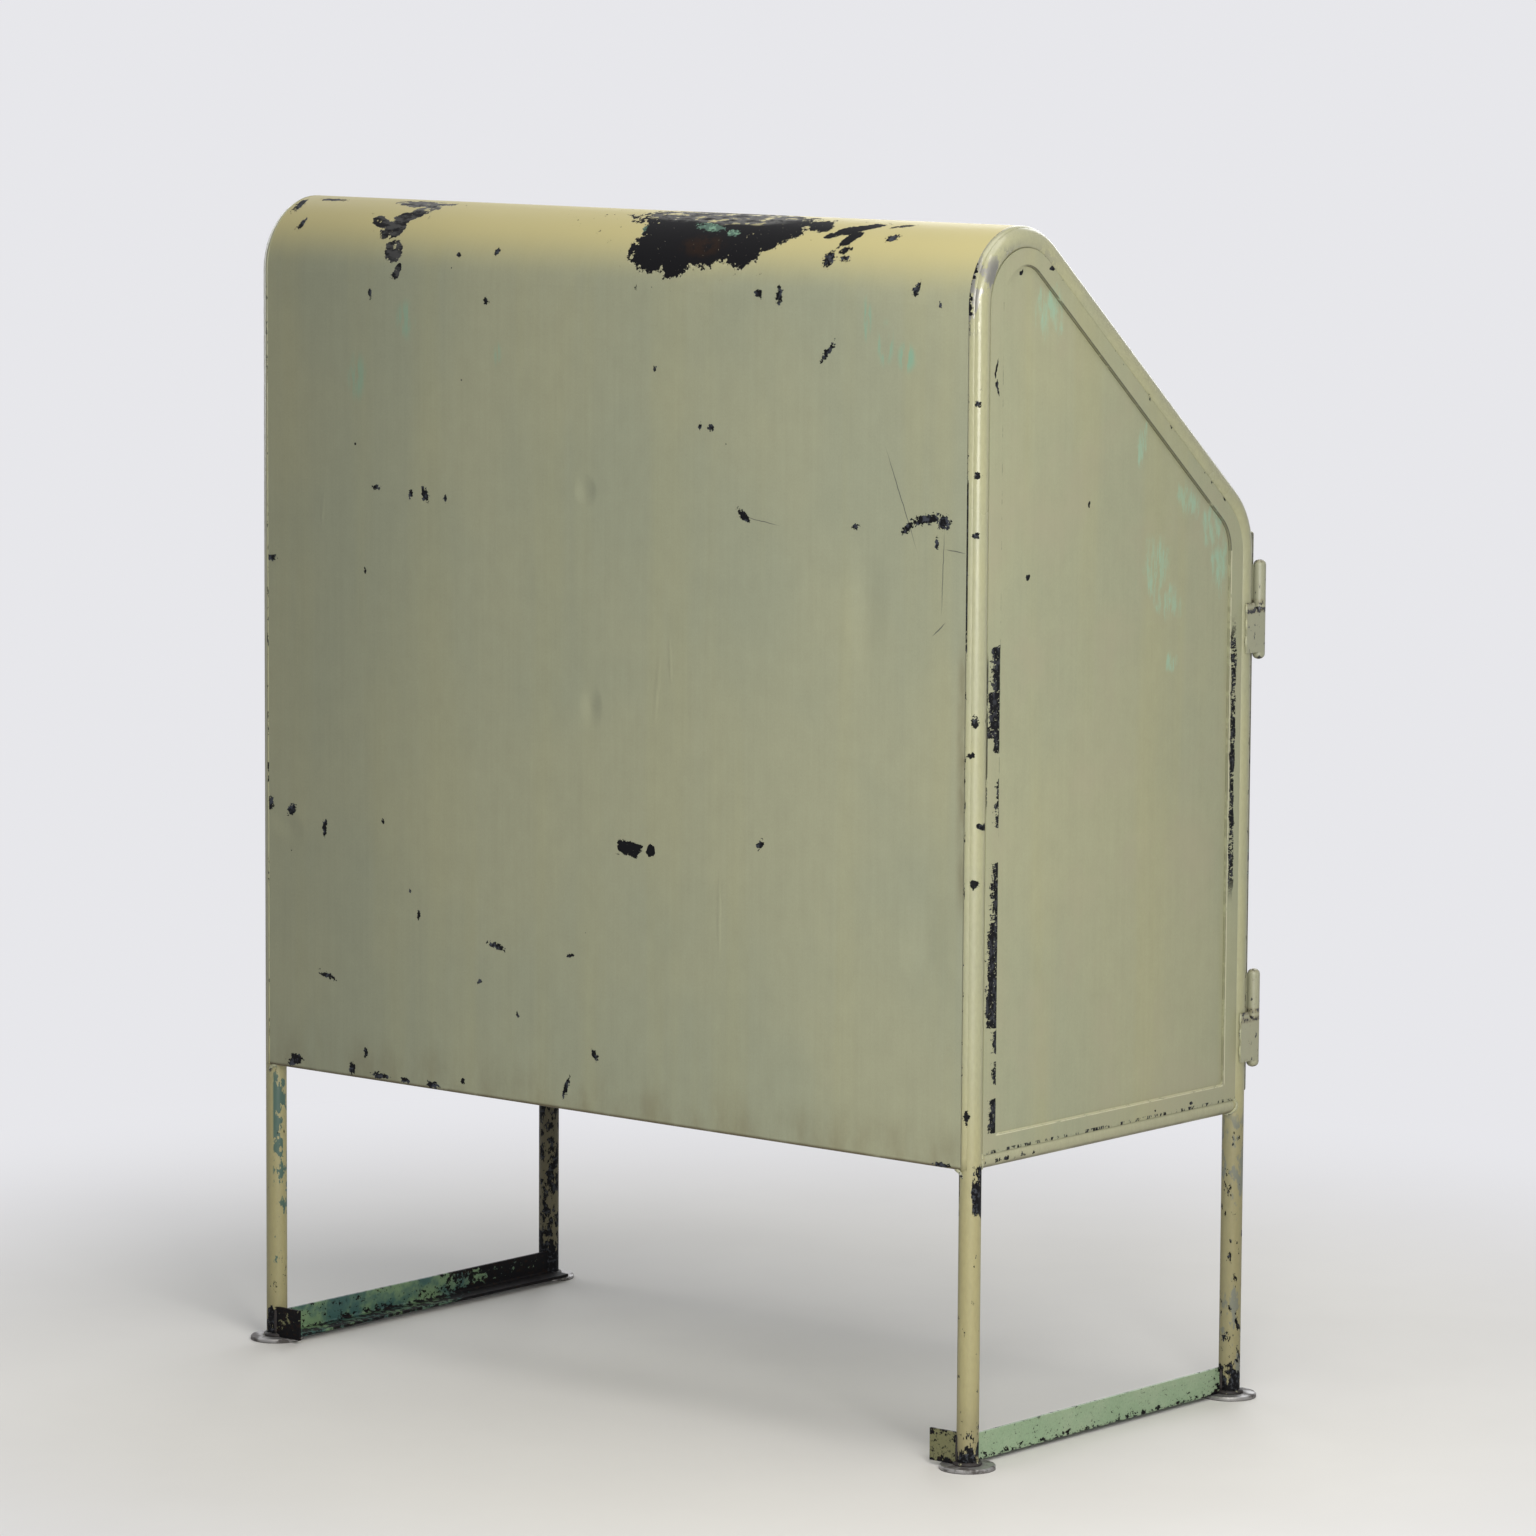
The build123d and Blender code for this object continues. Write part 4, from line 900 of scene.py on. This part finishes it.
def weldRings(path, radius, closed):
    # one bead along a path, with the ripples and lumps of welding by hand
    points = [Vector(p) for p in path]
    runs = list(zip(points, points[1:])) + ([(points[-1], points[0])] if closed else [])
    track = []
    for start, stop in runs:
        count = max(1, round((stop - start).length / bead["step"]))
        track += [start.lerp(stop, k / count) for k in range(count)]
    if not closed:
        track.append(points[-1])
    rings = []
    for k, point in enumerate(track):
        ahead = track[(k + 1) % len(track)] if closed or k + 1 < len(track) else point
        behind = track[k - 1] if closed or k else point
        along = (ahead - behind).normalized()
        steep = abs(along.z) > bead["steep"]
        side = (along.orthogonal() if steep else along.cross(Vector((0, 0, 1)))).normalized()
        upward = side.cross(along)
        fromEnd = min(k, len(track) - 1 - k)
        ends = 1 if closed else min(1, bead["endSize"] + bead["endGrowth"] * fromEnd)
        ripple = math.sin(k * bead["step"] / bead["ripple"] * 2 * math.pi)
        size = radius * ends * (1 + bead["depth"] * ripple)
        ring = []
        for j in range(bead["sides"]):
            angle = 2 * math.pi * j / bead["sides"]
            spoke = side * math.cos(angle) + upward * math.sin(angle)
            lump = 1 + bead["lumps"] * noise.noise((point + spoke * radius) * bead["wave"])
            ring.append(point + spoke * size * lump)
        rings.append(ring)
    return rings


def circle(middle, first, second, radius, count=40):
    points = []
    for k in range(count):
        angle = 2 * math.pi * k / count
        spoke = Vector(first) * math.cos(angle) + Vector(second) * math.sin(angle)
        points.append(Vector(middle) + radius * spoke)
    return points


welds = {
    "footRadius": 0.0113, "footZ": 0.0048, "footBead": 0.0028,
    "railZ": 0.2947, "railRadius": 0.0088, "railGap": 0.0004, "railBead": 0.0017,
    # in from the tube axis, out from the tube and down
    "cornerPath": [(0.010, 0.0002, 0), (0.005, 0.0002, 0.001), (0.0025, 0, 0.004), (0.001, -0.0004, 0.008)],
    "cornerZ": 0.2872, "cornerBead": 0.0018,
    "runnerX": 0.4474, "runnerLow": 0.0065, "runnerHigh": 0.0285, "runnerBead": 0.0022,
    "stopX": 0.4440, "stopY": 0.2296, "stopHigh": 0.0330, "stopBead": 0.0019,
    "leafX": 0.4616, "leafY": -0.1944, "leafBead": 0.0013,
    "leafStarts": (0.014, 0.031, 0.046), "leafRun": 0.011,
}


def legPlaces():
    return [(sx * hoop["legX"], y) for sx in (-1, 1) for y in (hoop["rearY"], hoop["frontY"])]


def saddle(x, y, ahead, across):
    # path round the end of a rail that runs ahead from a leg
    path = []
    for side, _, up in circle((0, 0, 0), (1, 0, 0), (0, 0, 1), welds["railRadius"]):
        reach = math.sqrt(hoop["tube"] ** 2 - min(side ** 2, hoop["tube"] ** 2)) + welds["railGap"]
        onLeg = Vector((x, y)) + Vector(across) * side + Vector(ahead) * reach
        path.append((*onLeg, welds["railZ"] + up))
    return path


def addWelds(painted, scaled):
    rings = []
    for x, y in legPlaces():
        path = circle((x, y, welds["footZ"]), (1, 0, 0), (0, 1, 0), welds["footRadius"])
        rings.append(weldRings(path, welds["footBead"], True))
    skin("footWelds", rings, True, scaled)

    # the side rails on all legs, then the front rail on the front legs
    rings = []
    for x, y in legPlaces():
        path = saddle(x, y, (0, -1 if y > 0 else 1), (1, 0))
        rings.append(weldRings(path, welds["railBead"], True))
    for sx in (-1, 1):
        path = saddle(sx * hoop["legX"], hoop["frontY"], (-sx, 0), (0, 1))
        rings.append(weldRings(path, welds["railBead"], True))
    skin("railWelds", rings, True, painted)

    rings = []
    back = hoop["rearY"] + hoop["tube"]
    for sx in (-1, 1):
        path = []
        for inward, out, drop in welds["cornerPath"]:
            path.append((sx * (hoop["legX"] - inward), back + out, welds["cornerZ"] - drop))
        rings.append(weldRings(path, welds["cornerBead"], False))
    skin("sheetCornerWelds", rings, False, painted)

    # upright beads: runners on the legs, stops on the runners, leaves on the front tubes
    def upright(x, y, low, high, radius):
        rings.append(weldRings([(x, y, low), (x, y, high)], radius, False))

    rings = []
    touch = math.sqrt(hoop["tube"] ** 2 - (hoop["legX"] - welds["runnerX"]) ** 2)
    for sx in (-1, 1):
        for y in (hoop["rearY"] - touch, hoop["frontY"] + touch):
            upright(sx * welds["runnerX"], y, welds["runnerLow"], welds["runnerHigh"], welds["runnerBead"])
        x, y = sx * welds["stopX"], welds["stopY"]
        upright(x, y, welds["runnerLow"], welds["stopHigh"], welds["stopBead"])
    skin("runnerWelds", rings, False, scaled)

    rings = []
    for side, sx in (("left", -1), ("right", 1)):
        for level in ("lower", "upper"):
            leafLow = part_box(f"{side}_{level}_frame_leaf")[0]
            for start in welds["leafStarts"]:
                z = leafLow.z + start
                upright(sx * welds["leafX"], welds["leafY"], z, z + welds["leafRun"], welds["leafBead"])
    skin("hingeWelds", rings, False, painted)
    print("welds at feet, rails, sheet corners, runners and hinges")


softEdges = {"width": 0.0006, "steps": 2, "angle": 50, "nodes": ("base_runner", "runner_stop")}


def softenEdges():
    for name, thing in nodes.items():
        if any(ending in name for ending in softEdges["nodes"]):
            bevel = thing.modifiers.new("softEdge", "BEVEL")
            bevel.width = softEdges["width"]
            bevel.segments = softEdges["steps"]
            bevel.limit_method = "ANGLE"
            bevel.angle_limit = math.radians(softEdges["angle"])
            bevel.harden_normals = True
    print("edges softened on", " and ".join(softEdges["nodes"]))


view = {"place": (-4.3448, 5.2397, 1.4654), "look": (0.63182, -0.76500, -0.12486), "roll": 0.35,
        "lens": 160.66, "sensor": 36, "farthest": 100}


def addCamera():
    data = bpy.data.cameras.new("photoCamera")
    data.lens = view["lens"]
    data.sensor_width = view["sensor"]
    data.clip_end = view["farthest"]
    camera = put("photoCamera", data)
    camera.location = view["place"]
    camera.rotation_mode = "QUATERNION"
    turn = Quaternion((0, 0, 1), math.radians(view["roll"]))
    camera.rotation_quaternion = Vector(view["look"]).to_track_quat("-Z", "Y") @ turn
    bpy.context.scene.camera = camera


lamps = {
    "key": {"place": (-1.75, 1.35, 1.05), "aim": (0, 0.1, 0.65), "wide": 0.8, "tall": 1.7, "power": 39,
            "colour": (1, 0.98, 0.94)},
    "top": {"place": (-0.7, 0.35, 3.0), "aim": (0, 0.1, 0.8), "wide": 1.6, "tall": 1.6, "power": 34.5,
            "colour": (1, 0.96, 0.88)},
    "front": {"place": (1.4, -3.4, 2.4), "aim": (0, -0.1, 0.6), "wide": 2.6, "tall": 2.6, "power": 48,
              "colour": (0.98, 0.99, 1)},
    "side": {"place": (3.4, -0.7, 1.8), "aim": (0, 0, 0.6), "wide": 2.4, "tall": 2.4, "power": 32,
             "colour": (0.98, 0.99, 1)},
}


def addLamps():
    for name, lamp in lamps.items():
        data = bpy.data.lights.new(name, "AREA")
        data.energy = lamp["power"]
        data.shape = "RECTANGLE"
        data.size = lamp["wide"]
        data.size_y = lamp["tall"]
        data.color = lamp["colour"]
        thing = put(name, data)
        thing.location = lamp["place"]
        aim = Vector(lamp["aim"]) - Vector(lamp["place"])
        thing.rotation_euler = aim.to_track_quat("-Z", "Y").to_euler()


studio = {
    "light": (0.90, 0.93, 1.0), "strength": 0.19, "backdrop": (0.80, 0.80, 0.83),
    "floor": (0.71, 0.70, 0.68), "cloudy": 0.97, "fade": (0.6, 1.6), "reach": 12,
}


def addWorld():
    world = bpy.data.worlds.new("studio")
    bpy.context.scene.world = world
    board = Board(world)
    light = board.node("Background", {}, {"Color": studio["light"], "Strength": studio["strength"]})
    seen = board.node("Background", {}, {"Color": studio["backdrop"], "Strength": 1.0})
    board.close("World Output", board.plainRay(), light, seen)


def addFloor():
    reach = studio["reach"]
    mesh = bpy.data.meshes.new("floor")
    corners = [(-reach, -reach, 0), (reach, -reach, 0), (reach, reach, 0), (-reach, reach, 0)]
    mesh.from_pydata(corners, [], [(0, 1, 2, 3)])
    fin = Finish("paleFloor")
    clouds = fin.noise(fin.place, 2.5, 4, 0.6)
    darker = tuple(studio["cloudy"] * c for c in studio["floor"])
    colour = fin.mix(clouds.rise(0.3, 0.7), studio["floor"], darker)
    fin.surface(colour, 0.62 + 0.1 * clouds)
    # far off, the floor takes on the backdrop's colour for the camera and in reflections
    far = fin.length(fin.x, fin.y).rise(*studio["fade"])
    glow = fin.node("Emission", {}, {"Color": studio["backdrop"], "Strength": 1.0})
    fin.close("Material Output", far * fin.plainRay(), fin.base, glow)
    mesh.materials.append(fin.material)
    put("floor", mesh)


looks = dress()
paintedWeld = weldFinish("paintedWeld", 0.06)
scaledWeld = weldFinish("scaledWeld", 0.33)
addSeams(looks["tube"])
addWelds(paintedWeld, scaledWeld)
softenEdges()
addCamera()
addLamps()
addWorld()
addFloor()
bpy.context.scene.view_settings.view_transform = "Standard"
print("camera, lamps and floor set")
